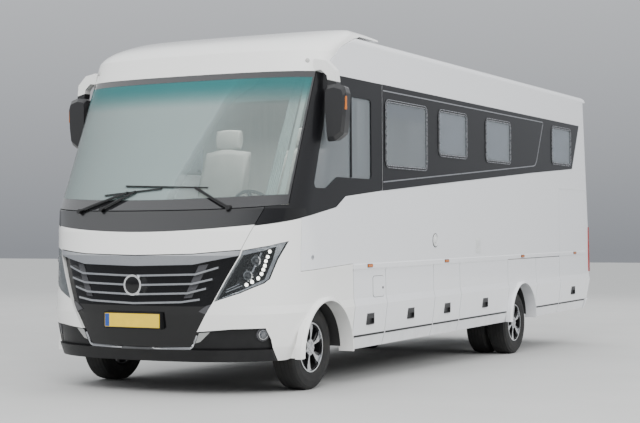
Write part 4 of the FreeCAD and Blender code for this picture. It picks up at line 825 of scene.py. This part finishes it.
def patch(name, tree, look, outline, proud, finish, body="root", cell=0.05, base=-0.002):
    """Thin sheet on the surface inside an outline."""
    flat = bmesh.new()
    flat.faces.new([flat.verts.new((a, b, 0)) for a, b in outline])
    bmesh.ops.triangulate(flat, faces=flat.faces)
    for _ in range(6):
        long_edges = [e for e in flat.edges if e.calc_length() > cell]
        if long_edges:
            bmesh.ops.subdivide_edges(flat, edges=long_edges, cuts=1)
            bmesh.ops.triangulate(flat, faces=flat.faces)
    flat.verts.index_update()
    top = [on_skin(tree, look, v.co.x, v.co.y, proud)[0] for v in flat.verts]
    low = [on_skin(tree, look, v.co.x, v.co.y, base)[0] for v in flat.verts]
    count = len(top)
    faces = [tuple(v.index for v in f.verts) for f in flat.faces]
    faces += [tuple(v.index + count for v in f.verts) for f in flat.faces]
    faces += [(e.verts[0].index, e.verts[1].index, e.verts[1].index + count, e.verts[0].index + count)
              for e in flat.edges if e.is_boundary]
    flat.free()
    return mesh_piece(name, top + low, faces, finish, body)


def fitted(name, outline, tree, look, spot, finish, body="root", sides=28, lift=0.0):
    """Lathed piece that stands square on the surface."""
    at, out = on_skin(tree, look, *spot, lift)
    return lathe(name, outline, at, out, finish, body, sides)


def block(name, low, high, finish, body="root", bevel=0.002):
    """Bevelled box between two corners given on the body's level lines."""
    ends = list(zip(low, high))
    corners = [place(x, y, z) for x in ends[0] for y in ends[1] for z in ends[2]]
    faces = [(0, 1, 3, 2), (4, 6, 7, 5), (0, 4, 5, 1), (2, 3, 7, 6), (0, 2, 6, 4), (1, 5, 7, 3)]
    return mesh_piece(name, corners, faces, finish, body, False, bevel)


def rectangle(a0, a1, b0, b1):
    return [(a0, b0), (a1, b0), (a1, b1), (a0, b1)]


SIDES = (("left", 1), ("right", -1))


def mirrored(line, s):
    """A line or outline given for the left side, on the left or on the right."""
    return [(s * a, b) for a, b in line]


print("makers ready: lathe, ribbon, patch, block")

# %% [markdown]
# The headlamps give the face its look. Behind each clear lens a chrome brow frames the bowl,
# two projectors stand in their tubes, and a curved row of nine daytime lamps runs down the
# outer edge. Bright light guides part the projectors from the row.

# %% Headlamps
DAY_LAMPS = [(1.041, 1.158), (1.031, 1.117), (1.022, 1.083), (1.017, 1.047), (1.009, 1.017), (1.000, 0.983),
             (0.982, 0.949), (0.947, 0.921), (0.913, 0.900)]
PROJECTORS = [(0.898, 0.970), (0.944, 1.086)]
BROW_OUTER = [(0.878, 1.164), (1.037, 1.200), (1.113, 1.232), (1.071, 1.100), (1.035, 0.946), (1.006, 0.913),
              (0.872, 0.842), (0.712, 0.782)]
BROW_INNER = [(0.893, 0.863), (1.014, 0.940), (1.052, 1.090), (1.070, 1.196), (1.002, 1.165), (0.872, 1.128)]
LENS_THICK = 0.007
TUBE_RIM = 0.043
DAY_LAMP = [(0.0105, -0.004), (0.0105, 0.001), (0.0075, 0.005), (0.0004, 0.007)]
DAY_CUP = [(0.0120, -0.03), (0.0165, 0.002), (0.0145, 0.002), (0.0105, -0.004)]
EYE_RING = [(0.047, -0.004), (0.047, 0.010), (0.042, 0.013), (0.037, 0.006), (0.037, -0.004)]
EYE_BALL = [(0.037, -0.002), (0.035, 0.012), (0.026, 0.024), (0.014, 0.030), (0.0004, 0.032)]
AHEAD = RAKE_TURN @ Vector((0, -1, 0))
GUIDES = [[(0.996, 1.150), (0.976, 1.088)], [(0.966, 1.062), (0.948, 1.004), (0.916, 0.955)],
          [(0.780, 0.862), (0.868, 0.908)], [(0.775, 0.842), (0.886, 0.894)]]

for side, s in SIDES:
    patch("lamp_brow_" + side, lens_skin, "front", mirrored(BROW_OUTER + BROW_INNER, s), -LENS_THICK - 0.001,
          chrome, cell=0.04, base=-0.02)
    for i, (x, z) in enumerate(DAY_LAMPS):
        at, out = on_skin(lens_skin, "front", s * x, z, -LENS_THICK - 0.014)
        lathe("day_lamp_%s_%d" % (side, i), DAY_LAMP, at, out, daylight_lamp, sides=14)
        lathe("day_lamp_cup_%s_%d" % (side, i), DAY_CUP, at, out, chrome, sides=14)
    for i, (x, z) in enumerate(PROJECTORS):
        at, _ = on_skin(bowl_skin, "front", s * x, z)
        rim, _ = on_skin(bowl_skin, "front", s * (x - TUBE_RIM), z)
        at += AHEAD * ((rim - at).dot(AHEAD) + 0.002)
        lathe("projector_ring_%s_%d" % (side, i), EYE_RING, at, AHEAD, chrome, sides=36)
        lathe("projector_eye_%s_%d" % (side, i), EYE_BALL, at, AHEAD, projector_glass, sides=36)
    for i, line in enumerate(GUIDES):
        ribbon("lamp_guide_%s_%d" % (side, i), lens_skin, "front", mirrored(line, s),
               0.010 if i < 2 else 0.006, -0.014, chrome, base=-0.030)
print("headlamps:", len(DAY_LAMPS), "daytime lamps a side")

# %% [markdown]
# The lower front has a bright U-shaped line over the lip, fog lamps in black recesses, small
# pale reflectors and a bare number plate. The grille shows dark polished facets at its ends and
# a plain disc in the ring at its middle.

# %% Lower front and grille
U_HALF = [(0.470, 0.398), (0.492, 0.412), (0.535, 0.500)]
U_LINE = mirrored(U_HALF[::-1], -1) + [(0, 0.390)] + U_HALF
FOG_LAMP = (0.983, 0.505)
REFLECTOR = [(0.556, 0.522), (0.640, 0.528), (0.560, 0.452), (0.520, 0.440)]
FACET = [(0.555, 1.052), (0.628, 1.062), (0.560, 0.910), (0.505, 0.800), (0.440, 0.795), (0.492, 0.910)]
TOE_FACET = [(0.690, 0.760), (0.640, 0.660), (0.560, 0.690), (0.620, 0.735)]
BOSS = (0, -1.076, 0.895)
PLATE_LOW = (-0.280, -1.062, 0.557)
PLATE_HIGH = (0.245, -1.054, 0.667)

FOG_PIECES = [
    ("fog_bezel", [(0.058, -0.004), (0.054, 0.010), (0.044, 0.014), (0.040, 0.004)], facet_black),
    ("fog_ring", [(0.040, 0.002), (0.039, 0.013), (0.035, 0.014), (0.033, 0.004)], chrome),
    ("fog_reflector", [(0.033, 0.006), (0.026, 0.001), (0.012, 0.000), (0.010, 0.008), (0.0004, 0.009)],
     brushed_steel),
    ("fog_lens", [(0.033, 0.008), (0.024, 0.014), (0.0004, 0.017)], lens_glass),
]

low_front = tree_of("bumper", "grille_surround", "front_mask")
surround_skin = tree_of("grille_surround")
FRONT_PATCHES = [
    ("low_reflector", low_front, REFLECTOR, 0.006, silver_facet),
    ("grille_facet", surround_skin, FACET, 0.006, facet_black),
    ("toe_facet", surround_skin, TOE_FACET, 0.008, facet_black),
]
ribbon("bright_u_line", low_front, "front", U_LINE, 0.015, 0.004, chrome, step=0.02, base=-0.03)
block("front_plate_carrier", (PLATE_LOW[0] - 0.012, PLATE_LOW[1] + 0.006, PLATE_LOW[2] - 0.012),
      (PLATE_HIGH[0] + 0.012, PLATE_HIGH[1] + 0.05, PLATE_HIGH[2] + 0.012), lip_plastic)
block("front_plate", PLATE_LOW, PLATE_HIGH, plate_yellow)
block("front_plate_strip", (PLATE_LOW[0] + 0.004, PLATE_LOW[1] - 0.001, PLATE_LOW[2] + 0.004),
      (PLATE_LOW[0] + 0.045, PLATE_HIGH[1], PLATE_HIGH[2] - 0.004), plate_blue, bevel=0.0005)
lathe("grille_disc", [(0.068, -0.003), (0.068, 0.001), (0.062, 0.003), (0.0004, 0.004)], place(*BOSS), AHEAD,
      piano_black, sides=48)
for side, s in SIDES:
    for name, outline, finish in FOG_PIECES:
        fitted(name + "_" + side, outline, low_front, "front", (s * FOG_LAMP[0], FOG_LAMP[1]), finish)
    for name, skin, outline, proud, finish in FRONT_PATCHES:
        patch(name + "_" + side, skin, "front", mirrored(outline, s), proud, finish)
print("front lower part dressed")

# %% [markdown]
# Along the sides run a thin bright line around the black window band, a black rub strip near the
# sill, marker lamps on the belt rail, vents and a filler lid. What sits on a lid moves with the
# lid, so the strip is cut at every seam and each length rides on its own panel.

# %% Sides
PANELS = {
    "left": [("root", -0.05, 0.521), ("locker_left_1", 0.531, 1.185), ("locker_left_2", 1.195, 2.295),
             ("locker_left_3", 2.305, 2.985), ("locker_left_4", 2.995, 4.41), ("root", 5.39, 6.265),
             ("garage_door_left", 6.275, 7.345)],
    "right": [("root", 0.42, 0.521), ("locker_right_1", 0.531, 1.495), ("root", 1.505, 2.115),
              ("root", 2.795, 3.295), ("locker_right_2", 3.305, 4.41), ("root", 5.39, 6.265),
              ("garage_door_right", 6.275, 7.345)],
}
SIDE_NODES = {
    "left": ("front_mask", "side_wall_left", "skirt_left", "locker_left_1", "locker_left_2", "locker_left_3",
             "locker_left_4", "garage_door_left", "window_bands", "cab_sides", "rear_wall"),
    "right": ("front_mask", "side_wall_right", "skirt_right", "locker_right_1", "locker_right_2",
              "garage_door_right", "entry_door", "window_bands", "cab_sides", "rear_wall"),
}
STRIP_Z = 0.402
STRIP_FRONT = 0.44
GARAGE_FRONT = 6.3
TRIM_TOP_Z = 2.575
TRIM_TOP = [(1.142, TRIM_TOP_Z), (5.640, TRIM_TOP_Z)]
TRIM_TAIL = [(5.640, TRIM_TOP_Z), (5.660, 2.560), (5.420, 2.110), (5.370, 2.060), (5.300, 2.045)]
TRIM_LOW = {"left": {"low": TRIM_TAIL + [(1.142, 1.752)]},
            "right": {"low": TRIM_TAIL + [(2.815, 1.862)], "front": [(2.100, 1.812), (1.142, 1.752)]}}
MARKERS = (0.85, 2.63, 4.90, 6.88)
side_skin = {side: tree_of(*SIDE_NODES[side]) for side, _ in SIDES}


for side, s in SIDES:
    skin = side_skin[side]
    for body, y0, y1 in PANELS[side]:
        if y1 > STRIP_FRONT:
            ribbon("rub_strip_%s_%d" % (side, round(y0 * 1000)), skin, side,
                   [(max(y0 + 0.01, STRIP_FRONT), STRIP_Z), (y1 - 0.01, STRIP_Z)], 0.016, 0.004,
                   lip_plastic, body, step=0.2)
    trims = {"top": TRIM_TOP, **TRIM_LOW[side]}
    for part, line in trims.items():
        ribbon("trim_%s_%s" % (part, side), skin, side, line, 0.011, 0.0035, satin_silver,
               step=0.3 if part == "top" else 0.12)
    for y in MARKERS:
        body = "garage_door_" + side if y > GARAGE_FRONT else "root"
        at, _ = on_skin(skin, side, y, 1.008)
        x = abs(at.x)
        tag = "%s_%d" % (side, round(y * 100))
        block("marker_foot_" + tag, (s * (x - 0.002), y - 0.052, 0.992), (s * (x + 0.004), y + 0.052, 1.024),
              lip_plastic, body)
        block("marker_lens_" + tag, (s * (x + 0.002), y - 0.046, 0.997), (s * (x + 0.011), y + 0.046, 1.019),
              amber_lens, body)
print("sides: trim, rub strips and", 2 * len(MARKERS), "marker lamps")

# %% [markdown]
# The lids meet the body at open seams. A dark rubber seal lies in each seam, a little below the
# surface, so the seams read as dark lines. Its place is found from the lid's own edges.

# %% Seals
SEAL_OUT = 0.005
SEAL_WIDE = 0.006
SEAL_DEEP = 0.006


def lid_edges(name):
    """Front, rear, low and high edges of a lid on the level lines."""
    points = [level(v.co) for v in nodes[name].data.vertices]
    along, heights = [p.y for p in points], [p.z for p in points]
    return min(along), max(along), min(heights), max(heights)


for side, s in SIDES:
    lids = [name for name in SIDE_NODES[side] if name.startswith(("locker", "garage"))]
    done = []
    for name in lids:
        y0, y1, z0, z1 = lid_edges(name)
        for y in (y0 - SEAL_OUT, y1 + SEAL_OUT):
            if all(abs(y - other) > 0.006 for other in done):
                done.append(y)
                ribbon("seal_%s_%d" % (side, round(y * 1000)), side_skin[side], side,
                       [(y, z0 + 0.01), (y, z1)], SEAL_WIDE, -SEAL_DEEP, lip_plastic, step=0.04, base=-0.02)
        ribbon("seal_top_" + name, side_skin[side], side, [(y0, z1 + SEAL_OUT), (y1, z1 + SEAL_OUT)],
               SEAL_WIDE, -SEAL_DEEP, lip_plastic, step=0.2, base=-0.02)
print("seals laid in the seams")

# %% [markdown]
# The left side has a round gas vent, a slatted refrigerator vent, a filler lid on the first
# locker and a small lock button ahead of the cab window. The right side has two
# slatted vents and a round flue.

# %% Vents, lids and buttons
ROUND_VENT = (2.354, 1.214)
FRIDGE_VENT = (3.443, 3.584, 1.070, 1.226)
FILLER = (0.913, 1.145, 0.725, 0.915)
FILLER_LOCK = (1.118, 0.806)
FILLER_CORNER = 0.02
BUTTON = (-0.220, 1.104)
FLUE = (2.95, 1.42)


def slatted_vent(name, side, y0, y1, z0, z1, count):
    """White frame with slats that stand out from it."""
    s = 1 if side == "left" else -1
    at, _ = on_skin(side_skin[side], side, (y0 + y1) / 2, (z0 + z1) / 2)
    x = abs(at.x)
    block(name + "_plate", (s * (x - 0.002), y0, z0), (s * (x + 0.004), y1, z1), vent_white, bevel=0.003)
    pitch = (z1 - z0 - 0.03) / count
    for i in range(count):
        z = z0 + 0.018 + i * pitch
        block("%s_slat_%d" % (name, i), (s * (x + 0.002), y0 + 0.012, z),
              (s * (x + 0.010), y1 - 0.012, z + pitch * 0.5), vent_white, bevel=0.0015)


slatted_vent("fridge_vent_left", "left", *FRIDGE_VENT, 6)
slatted_vent("fridge_vent_right_low", "right", 4.30, 4.78, 1.12, 1.36, 9)
slatted_vent("fridge_vent_right_high", "right", 4.30, 4.78, 1.58, 1.82, 9)
ROUND_PIECES = [
    ("gas_vent_seal", "left", ROUND_VENT, [(0.068, -0.002), (0.068, 0.003), (0.060, 0.003)], lip_plastic, 40),
    ("gas_vent", "left", ROUND_VENT, [(0.062, -0.002), (0.060, 0.006), (0.052, 0.010), (0.046, 0.004),
                                      (0.030, 0.003), (0.026, 0.012), (0.0004, 0.013)], vent_white, 40),
    ("heater_flue", "right", FLUE, [(0.055, -0.002), (0.052, 0.008), (0.036, 0.018), (0.030, 0.010),
                                    (0.0004, 0.010)], vent_white, 40),
    ("side_button", "left", BUTTON, [(0.019, -0.002), (0.019, 0.004), (0.014, 0.006), (0.013, 0.003),
                                     (0.0004, 0.004)], satin_silver, 28),
]
for name, side, spot, outline, finish, sides in ROUND_PIECES:
    fitted(name, outline, side_skin[side], side, spot, finish, sides=sides)
y0, y1, z0, z1 = FILLER
near_y, far_y, near_z, far_z = y0 + FILLER_CORNER, y1 - FILLER_CORNER, z0 + FILLER_CORNER, z1 - FILLER_CORNER
lid_line = [(y0, near_z), (near_y, z0), (far_y, z0), (y1, near_z), (y1, far_z), (far_y, z1), (near_y, z1),
            (y0, far_z)]
patch("filler_lid_seam", side_skin["left"], "left", lid_line, 0.0012, lip_plastic, "locker_left_1", 0.08)
inner_line = [(y0 + (y - y0) * 0.97 + 0.0035, z0 + (z - z0) * 0.965 + 0.0033) for y, z in lid_line]
patch("filler_lid", side_skin["left"], "left", inner_line, 0.003, paint_side, "locker_left_1", 0.08)
fitted("filler_lock", [(0.012, -0.001), (0.011, 0.003), (0.0004, 0.004)], side_skin["left"], "left",
       FILLER_LOCK, lip_plastic, "locker_left_1", 16, 0.003)
print("vents and lids in place")

# %% [markdown]
# Behind each side window hangs a pleated blind, and the cab's side windows have gathered
# curtains. Both are cloth: a pleated blind is cut longer than it hangs, because its folds take
# up length. Dark catches and stays show at the foot of each window.

# %% Blinds, curtains and catches
PLEAT = 0.022
PLEAT_DEPTH = 0.007
BLIND_X = 1.166
WINDOWS = {
    "left": [(1.180, 2.150, 1.880, 2.505, 0.22), (2.430, 3.200, 2.035, 2.505, 1.0),
             (3.730, 4.520, 2.030, 2.506, 1.0), (5.970, 6.740, 2.090, 2.560, 1.0)],
    "right": [(1.180, 1.960, 1.880, 2.505, 0.3), (3.120, 3.990, 2.035, 2.505, 1.0),
              (4.200, 4.870, 2.030, 2.506, 0.4), (5.970, 6.740, 2.090, 2.560, 1.0)],
}
WINDOW_EDGE = 0.034
CURTAIN_Y = (0.540, 0.760)
CURTAIN_GATHERED = 0.120
CURTAIN_FOOT = 1.80
CURTAIN_HEAD = 2.45


def zigzag(name, corner, run, fall, folds, depth, finish, steps=1):
    """Pleated cloth: run is its plain edge, fall the way it folds along, both as vectors."""
    verts, faces = [], []
    for i in range(folds + 1):
        out = depth * (1 if i % 2 else -1)
        start = corner + fall * (i / folds)
        for j in range(steps + 1):
            verts.append(start + run * (j / steps) + Vector((out, 0, 0)))
    for i in range(folds):
        for j in range(steps):
            a = i * (steps + 1) + j
            faces.append((a, a + 1, a + steps + 2, a + steps + 1))
    made = mesh_piece(name, verts, faces, finish)
    return made


for side, s in SIDES:
    for i, (y0, y1, z0, z1, share) in enumerate(WINDOWS[side]):
        head = place(s * BLIND_X, y0 + WINDOW_EDGE, z1 - WINDOW_EDGE)
        run = place(0, y1 - WINDOW_EDGE, 0) - place(0, y0 + WINDOW_EDGE, 0)
        drop = (z1 - z0 - 2 * WINDOW_EDGE) * share
        fall = place(0, 0, -drop) - place(0, 0, 0)
        cloth = blind_cloth if share == 1.0 else shade_cloth
        zigzag("blind_%s_%d" % (side, i), head, run, fall, round(drop / PLEAT) * 2, PLEAT_DEPTH / 2, cloth)
        foot = z1 - WINDOW_EDGE - drop
        block("blind_bar_%s_%d" % (side, i), (s * (BLIND_X - 0.006), y0 + WINDOW_EDGE, foot - 0.012),
              (s * (BLIND_X + 0.006), y1 - WINDOW_EDGE, foot + 0.004), satin_silver)
        for j, share_y in enumerate((0.22, 0.78)):
            y = y0 + (y1 - y0) * share_y
            block("catch_%s_%d_%d" % (side, i, j), (s * 1.168, y - 0.028, z0 + 0.034),
                  (s * 1.178, y + 0.028, z0 + 0.062), piano_black)
        for j, y in enumerate((y0 + 0.045, y1 - 0.045)):
            block("stay_%s_%d_%d" % (side, i, j), (s * 1.170, y - 0.005, z0 + 0.06),
                  (s * 1.178, y + 0.005, z0 + 0.26), piano_black)
    block("cab_window_post_" + side, (s * 1.172, 0.492, 1.775), (s * 1.1795, 0.518, 2.468), piano_black)
    for i, y0 in enumerate(CURTAIN_Y):
        run = place(0, 0, CURTAIN_FOOT) - place(0, 0, CURTAIN_HEAD)
        fall = place(0, y0 + CURTAIN_GATHERED, 0) - place(0, y0, 0)
        zigzag("cab_curtain_%s_%d" % (side, i), place(s * 1.125, y0, CURTAIN_HEAD), run, fall, 16, 0.012,
               curtain_cloth, 6)
print("blinds and curtains hung")

# %% [markdown]
# Folded screens stand at both sides of the windscreen, just inside the glass, and a camera
# housing hangs at its head. Through the glass they show as pale upright bands.

# %% Windscreen fittings
screen_skin = tree_of("windscreen")
STACK = (0.985, 1.060)
STACK_FOOT = 1.60
STACK_HEIGHT = 0.98


def screen_stack(name, x0, x1, folds, finish):
    """Folded screen that follows the glass from its foot to its head."""
    rows = 12
    verts, faces = [], []
    for i in range(folds + 1):
        x = x0 + (x1 - x0) * i / folds
        for j in range(rows + 1):
            z = STACK_FOOT + STACK_HEIGHT * j / rows
            verts.append(on_skin(screen_skin, "front", x, z, -0.05 - (0.022 if i % 2 else 0.0))[0])
    for i in range(folds):
        for j in range(rows):
            a = i * (rows + 1) + j
            faces.append((a, a + 1, a + rows + 2, a + rows + 1))
    return mesh_piece(name, verts, faces, finish)


for side, s in SIDES:
    screen_stack("folded_screen_" + side, s * STACK[0], s * STACK[1], 12, curtain_cloth)
    ribbon("pillar_trim_" + side, screen_skin, "front", [(s * 1.085, 1.60), (s * 1.085, 2.58)], 0.030, -0.02,
           liner_light, step=0.1, base=-0.045)
fitted("camera_housing", [(0.050, 0.0), (0.044, -0.030), (0.022, -0.055), (0.0004, -0.058)], screen_skin,
       "front", (0.0, 2.52), lip_plastic, lift=-0.010)
block("sun_visor_left", (0.10, -0.02, 2.42), (0.92, 0.02, 2.56), liner_light, bevel=0.008)
block("sun_visor_right", (-0.92, -0.02, 2.42), (-0.10, 0.02, 2.56), liner_light, bevel=0.008)
block("fascia_screen", (0.02, -0.215, 1.455), (0.27, -0.19, 1.60), piano_black, bevel=0.004)
print("windscreen fittings in place")

# %% [markdown]
# The mirrors hang from white arms. Their glass faces the tail, sunk a little in the black head.

# %% Mirror glass
mirror_skin = tree_of("mirrors")
GLASS_HIGH = [(1.232, 2.300), (1.245, 2.262), (1.365, 2.262), (1.382, 2.300), (1.388, 2.440), (1.372, 2.480),
              (1.248, 2.490), (1.230, 2.450)]
GLASS_LOW = [(1.240, 2.120), (1.252, 2.090), (1.350, 2.130), (1.364, 2.160), (1.372, 2.232), (1.364, 2.245),
             (1.245, 2.245), (1.236, 2.230)]
for side, s in SIDES:
    for name, outline in (("high", GLASS_HIGH), ("low", GLASS_LOW)):
        patch("mirror_glass_%s_%s" % (name, side), mirror_skin, "rear", mirrored(outline, s), 0.003,
              mirror_silver, cell=0.2)
    block("mirror_indicator_" + side, (s * 1.372, -0.05, 2.31), (s * 1.406, -0.035, 2.42), amber_lens)
print("mirror glass in place")

# %% [markdown]
# The wheels have a bright hub cap and six nuts, and the front ones a brake disc behind the blades. The twin
# rear wheels share their pieces.

# %% Wheels
WHEEL_Z = (tyre_low.z + tyre_high.z) / 2
NUT_RING = 0.048
CAP_SUNK = 0.022
DISC_SUNK = 0.115
HUB_CAP = [(0.031, -0.030), (0.031, -0.002), (0.026, 0.003), (0.0004, 0.005)]
NUT = [(0.010, -0.024), (0.010, 0.001), (0.007, 0.004), (0.0004, 0.004)]
BRAKE_DISC = [(0.070, -0.012), (0.155, -0.012), (0.155, 0.012), (0.070, 0.012)]
for side, s in SIDES:
    for row, body, tyre in (("front", "wheel_front_" + side, "tyre_front_" + side),
                            ("rear", "wheels_rear_" + side, "tyres_rear_" + side)):
        low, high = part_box(tyre)
        face = s * ((high.x if s > 0 else -low.x) - CAP_SUNK)
        centre = Vector((face, (low.y + high.y) / 2, WHEEL_Z))
        axis = Vector((s, 0, 0))
        lathe("hub_cap_%s_%s" % (row, side), HUB_CAP, centre, axis, satin_silver, body)
        for i in range(6):
            angle = math.radians(60 * i + 54)
            at = centre + Vector((0, math.cos(angle), math.sin(angle))) * NUT_RING
            lathe("nut_%s_%s_%d" % (row, side, i), NUT, at, axis, satin_silver, body, sides=6)
        if row == "front":
            lathe("brake_disc_" + side, BRAKE_DISC, centre - axis * DISC_SUNK, axis, brushed_steel, body, 40)
print("wheels dressed")

# %% [markdown]
# The cab seats stand for the plain soft solids of the frame. A cushion is a rounded box whose
# faces crown outwards, and the seat and its back have sewn channels across their faces.

# %% Cab seats
SEAT_X = 0.430


def cushion(name, centre, size, lean, finish, channels=0):
    """Crowned cushion: a fine grid box pushed out at its middles and pulled in at its corners."""
    cells = bmesh.new()
    bmesh.ops.create_cube(cells, size=2.0)
    bmesh.ops.subdivide_edges(cells, edges=cells.edges, cuts=11, use_grid_fill=True)
    turn = Matrix.Rotation(lean, 3, "X")
    half = Vector(size) / 2
    for vert in cells.verts:
        x, y, z = vert.co
        soft = Vector((x * (1 - 0.10 * y * y * z * z), y * (1 - 0.05 * x * x) * (1 - 0.10 * z * z * x * x),
                       z * (1 - 0.16 * x * x) * (1 - 0.14 * y * y)))
        if channels and abs(z) > 0.5:
            soft.z *= 1 - 0.07 * max(0.0, math.cos(channels * math.pi * x)) ** 8
        vert.co = RAKE_TURN @ (turn @ Vector(a * b for a, b in zip(soft, half))) + place(*centre)
    mesh = bpy.data.meshes.new(name)
    cells.to_mesh(mesh)
    cells.free()
    mesh.materials.append(finish)
    for face in mesh.polygons:
        face.use_smooth = True
    made = bpy.data.objects.new(name, mesh)
    bpy.context.scene.collection.objects.link(made)
    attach(made, "root")
    return made


for side, s in SIDES:
    x = s * SEAT_X
    base = cushion("seat_cushion_" + side, (x, 0.755, 1.400), (0.50, 0.51, 0.135), 0.03, seat_leather, 3)
    cushion("seat_back_" + side, (x, 1.045, 1.760), (0.48, 0.66, 0.12), math.radians(72), seat_leather, 3)
    cushion("seat_head_" + side, (x, 1.150, 2.178), (0.26, 0.19, 0.085), math.radians(84), seat_leather)
    block("seat_plinth_" + side, (x - 0.19, 0.58, 0.977), (x + 0.19, 0.96, 1.345), lip_plastic, bevel=0.01)
    for j, dx in enumerate((-0.06, 0.06)):
        lathe("head_post_%s_%d" % (side, j), [(0.007, -0.02), (0.007, 0.07)], place(x + dx, 1.130, 2.050),
              RAKE_TURN @ Vector((0, 0.1, 1)), chrome, sides=10)
    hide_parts("cab_seats")
print("seats stand in the cab")

# %% [markdown]
# The tail carries a bare number plate in a shallow tray, a reversing camera, a high brake lamp
# and round reflectors. The cap has two small position lamps at its forehead.

# %% Tail and cap
rear_skin = tree_of("rear_wall", "rear_bumper", "tail_lamps")
cap_skin = tree_of("front_cap")
REAR_PATCHES = [
    ("rear_plate_tray", (-0.30, 0.30, 0.86, 1.01), 0.004, lip_plastic, 0.2),
    ("rear_plate", (-0.26, 0.26, 0.88, 0.99), 0.007, plate_yellow, 0.2),
    ("high_brake_lamp", (-0.22, 0.22, 2.70, 2.735), 0.012, red_lens, 0.2),
]
for side, s in SIDES:
    REAR_PATCHES.append(("tail_white_" + side, (s * 0.985, s * 1.075, 0.80, 0.93), 0.004, white_lens, 0.1))
    REAR_PATCHES.append(("tail_amber_" + side, (s * 0.985, s * 1.075, 0.95, 1.06), 0.004, amber_lens, 0.1))
for name, edges, proud, finish, cell in REAR_PATCHES:
    patch(name, rear_skin, "rear", rectangle(*edges), proud, finish, cell=cell)
fitted("reversing_camera", [(0.034, -0.004), (0.034, 0.030), (0.026, 0.040), (0.012, 0.036), (0.0004, 0.034)],
       rear_skin, "rear", (0.0, 2.60), lip_plastic)
for side, s in SIDES:
    fitted("rear_reflector_" + side, [(0.036, -0.004), (0.036, 0.006), (0.030, 0.009), (0.0004, 0.010)],
           rear_skin, "rear", (s * 0.80, 0.36), red_lens)
    fitted("cap_lamp_" + side, [(0.020, -0.004), (0.018, 0.006), (0.010, 0.011), (0.0004, 0.012)],
           cap_skin, "front", (s * 1.055, 2.731), white_lens)
print("tail and cap dressed")

# %% [markdown]
# The stage is a pale matt floor. A very large sheet keeps its edge out of every view.

# %% Floor
FLOOR_HALF = 150.0


def stage_floor():
    finish = Finish("pale_floor")
    patches = finish.noise(0.9, 5)
    base = finish.blend(patches.rise(0.3, 0.75) * 0.4, (0.50, 0.50, 0.49), (0.44, 0.44, 0.43))
    shader = finish.principled(base_color=base, roughness=0.85,
                               normal=finish.bump(finish.noise(60, 4), 0.1, 0.004))
    mesh = bpy.data.meshes.new("stage_floor")
    h = FLOOR_HALF
    mesh.from_pydata([(-h, -h, 0), (h, -h, 0), (h, h, 0), (-h, h, 0)], [], [(0, 1, 2, 3)])
    floor = bpy.data.objects.new("stage_floor", mesh)
    bpy.context.scene.collection.objects.link(floor)
    floor.location.z = cad_low.z - 0.0005
    mesh.materials.append(finish.finished(shader))
    return floor


stage_floor()
print("floor at z =", round(cad_low.z, 4))

# %% [markdown]
# Studio light: an overcast sky made from a gradient, brighter overhead than at the horizon, and
# three very large soft lamps. The main one stands in front and to the left of the coach, one lifts
# the side and one the tail. Two weak lamps light the cab and the cabin from under their ceilings.

# %% Light
SKY_TOP = (0.96, 0.98, 1.0)
SKY_EDGE = (0.20, 0.21, 0.23)
SKY_STRENGTH = 1.45


def studio_sky():
    world = bpy.data.worlds.new("studio_sky")
    bpy.context.scene.world = world
    world.use_nodes = True
    tree = world.node_tree
    tree.nodes.clear()
    point = tree.nodes.new("ShaderNodeTexCoord")
    split = tree.nodes.new("ShaderNodeSeparateXYZ")
    ramp = tree.nodes.new("ShaderNodeValToRGB")
    glow = tree.nodes.new("ShaderNodeBackground")
    end = tree.nodes.new("ShaderNodeOutputWorld")
    ramp.color_ramp.elements[0].position = 0.0
    ramp.color_ramp.elements[0].color = (*SKY_EDGE, 1)
    ramp.color_ramp.elements[1].position = 0.6
    ramp.color_ramp.elements[1].color = (*SKY_TOP, 1)
    glow.inputs["Strength"].default_value = SKY_STRENGTH
    tree.links.new(point.outputs["Generated"], split.inputs[0])
    tree.links.new(split.outputs["Z"], ramp.inputs[0])
    tree.links.new(ramp.outputs[0], glow.inputs["Color"])
    tree.links.new(glow.outputs[0], end.inputs["Surface"])


def soft_lamp(name, at, towards, size, watts):
    lamp = bpy.data.lights.new(name, "AREA")
    lamp.shape = "RECTANGLE"
    lamp.size, lamp.size_y = size
    lamp.energy = watts
    holder = bpy.data.objects.new(name, lamp)
    bpy.context.scene.collection.objects.link(holder)
    holder.location = at
    holder.visible_glossy = False
    holder.visible_camera = False
    holder.rotation_mode = "QUATERNION"
    holder.rotation_quaternion = (Vector(towards) - Vector(at)).to_track_quat("-Z", "Y")
    return holder


studio_sky()
LAMPS = [
    ("front_softbox", (6.0, -16.0, 12.0), (0, -3.0, 1.5), (12, 8), 3000),
    ("side_softbox", (16.0, 2.0, 9.0), (0, 0.5, 1.5), (14, 6), 1700),
    ("rear_softbox", (-6.0, 16.0, 12.0), (0, 3.0, 1.5), (12, 8), 900),
    ("cab_ceiling_light", place(0, 0.95, 2.62), place(0, 0.4, 1.4), (1.4, 0.5), 26),
    ("cabin_ceiling_light", place(0, 4.2, 2.80), place(0, 4.2, 1.0), (1.2, 4.0), 60),
]
for name, at, towards, size, watts in LAMPS:
    soft_lamp(name, at, towards, size, watts)
print(len(LAMPS), "lamps and the sky light the stage")
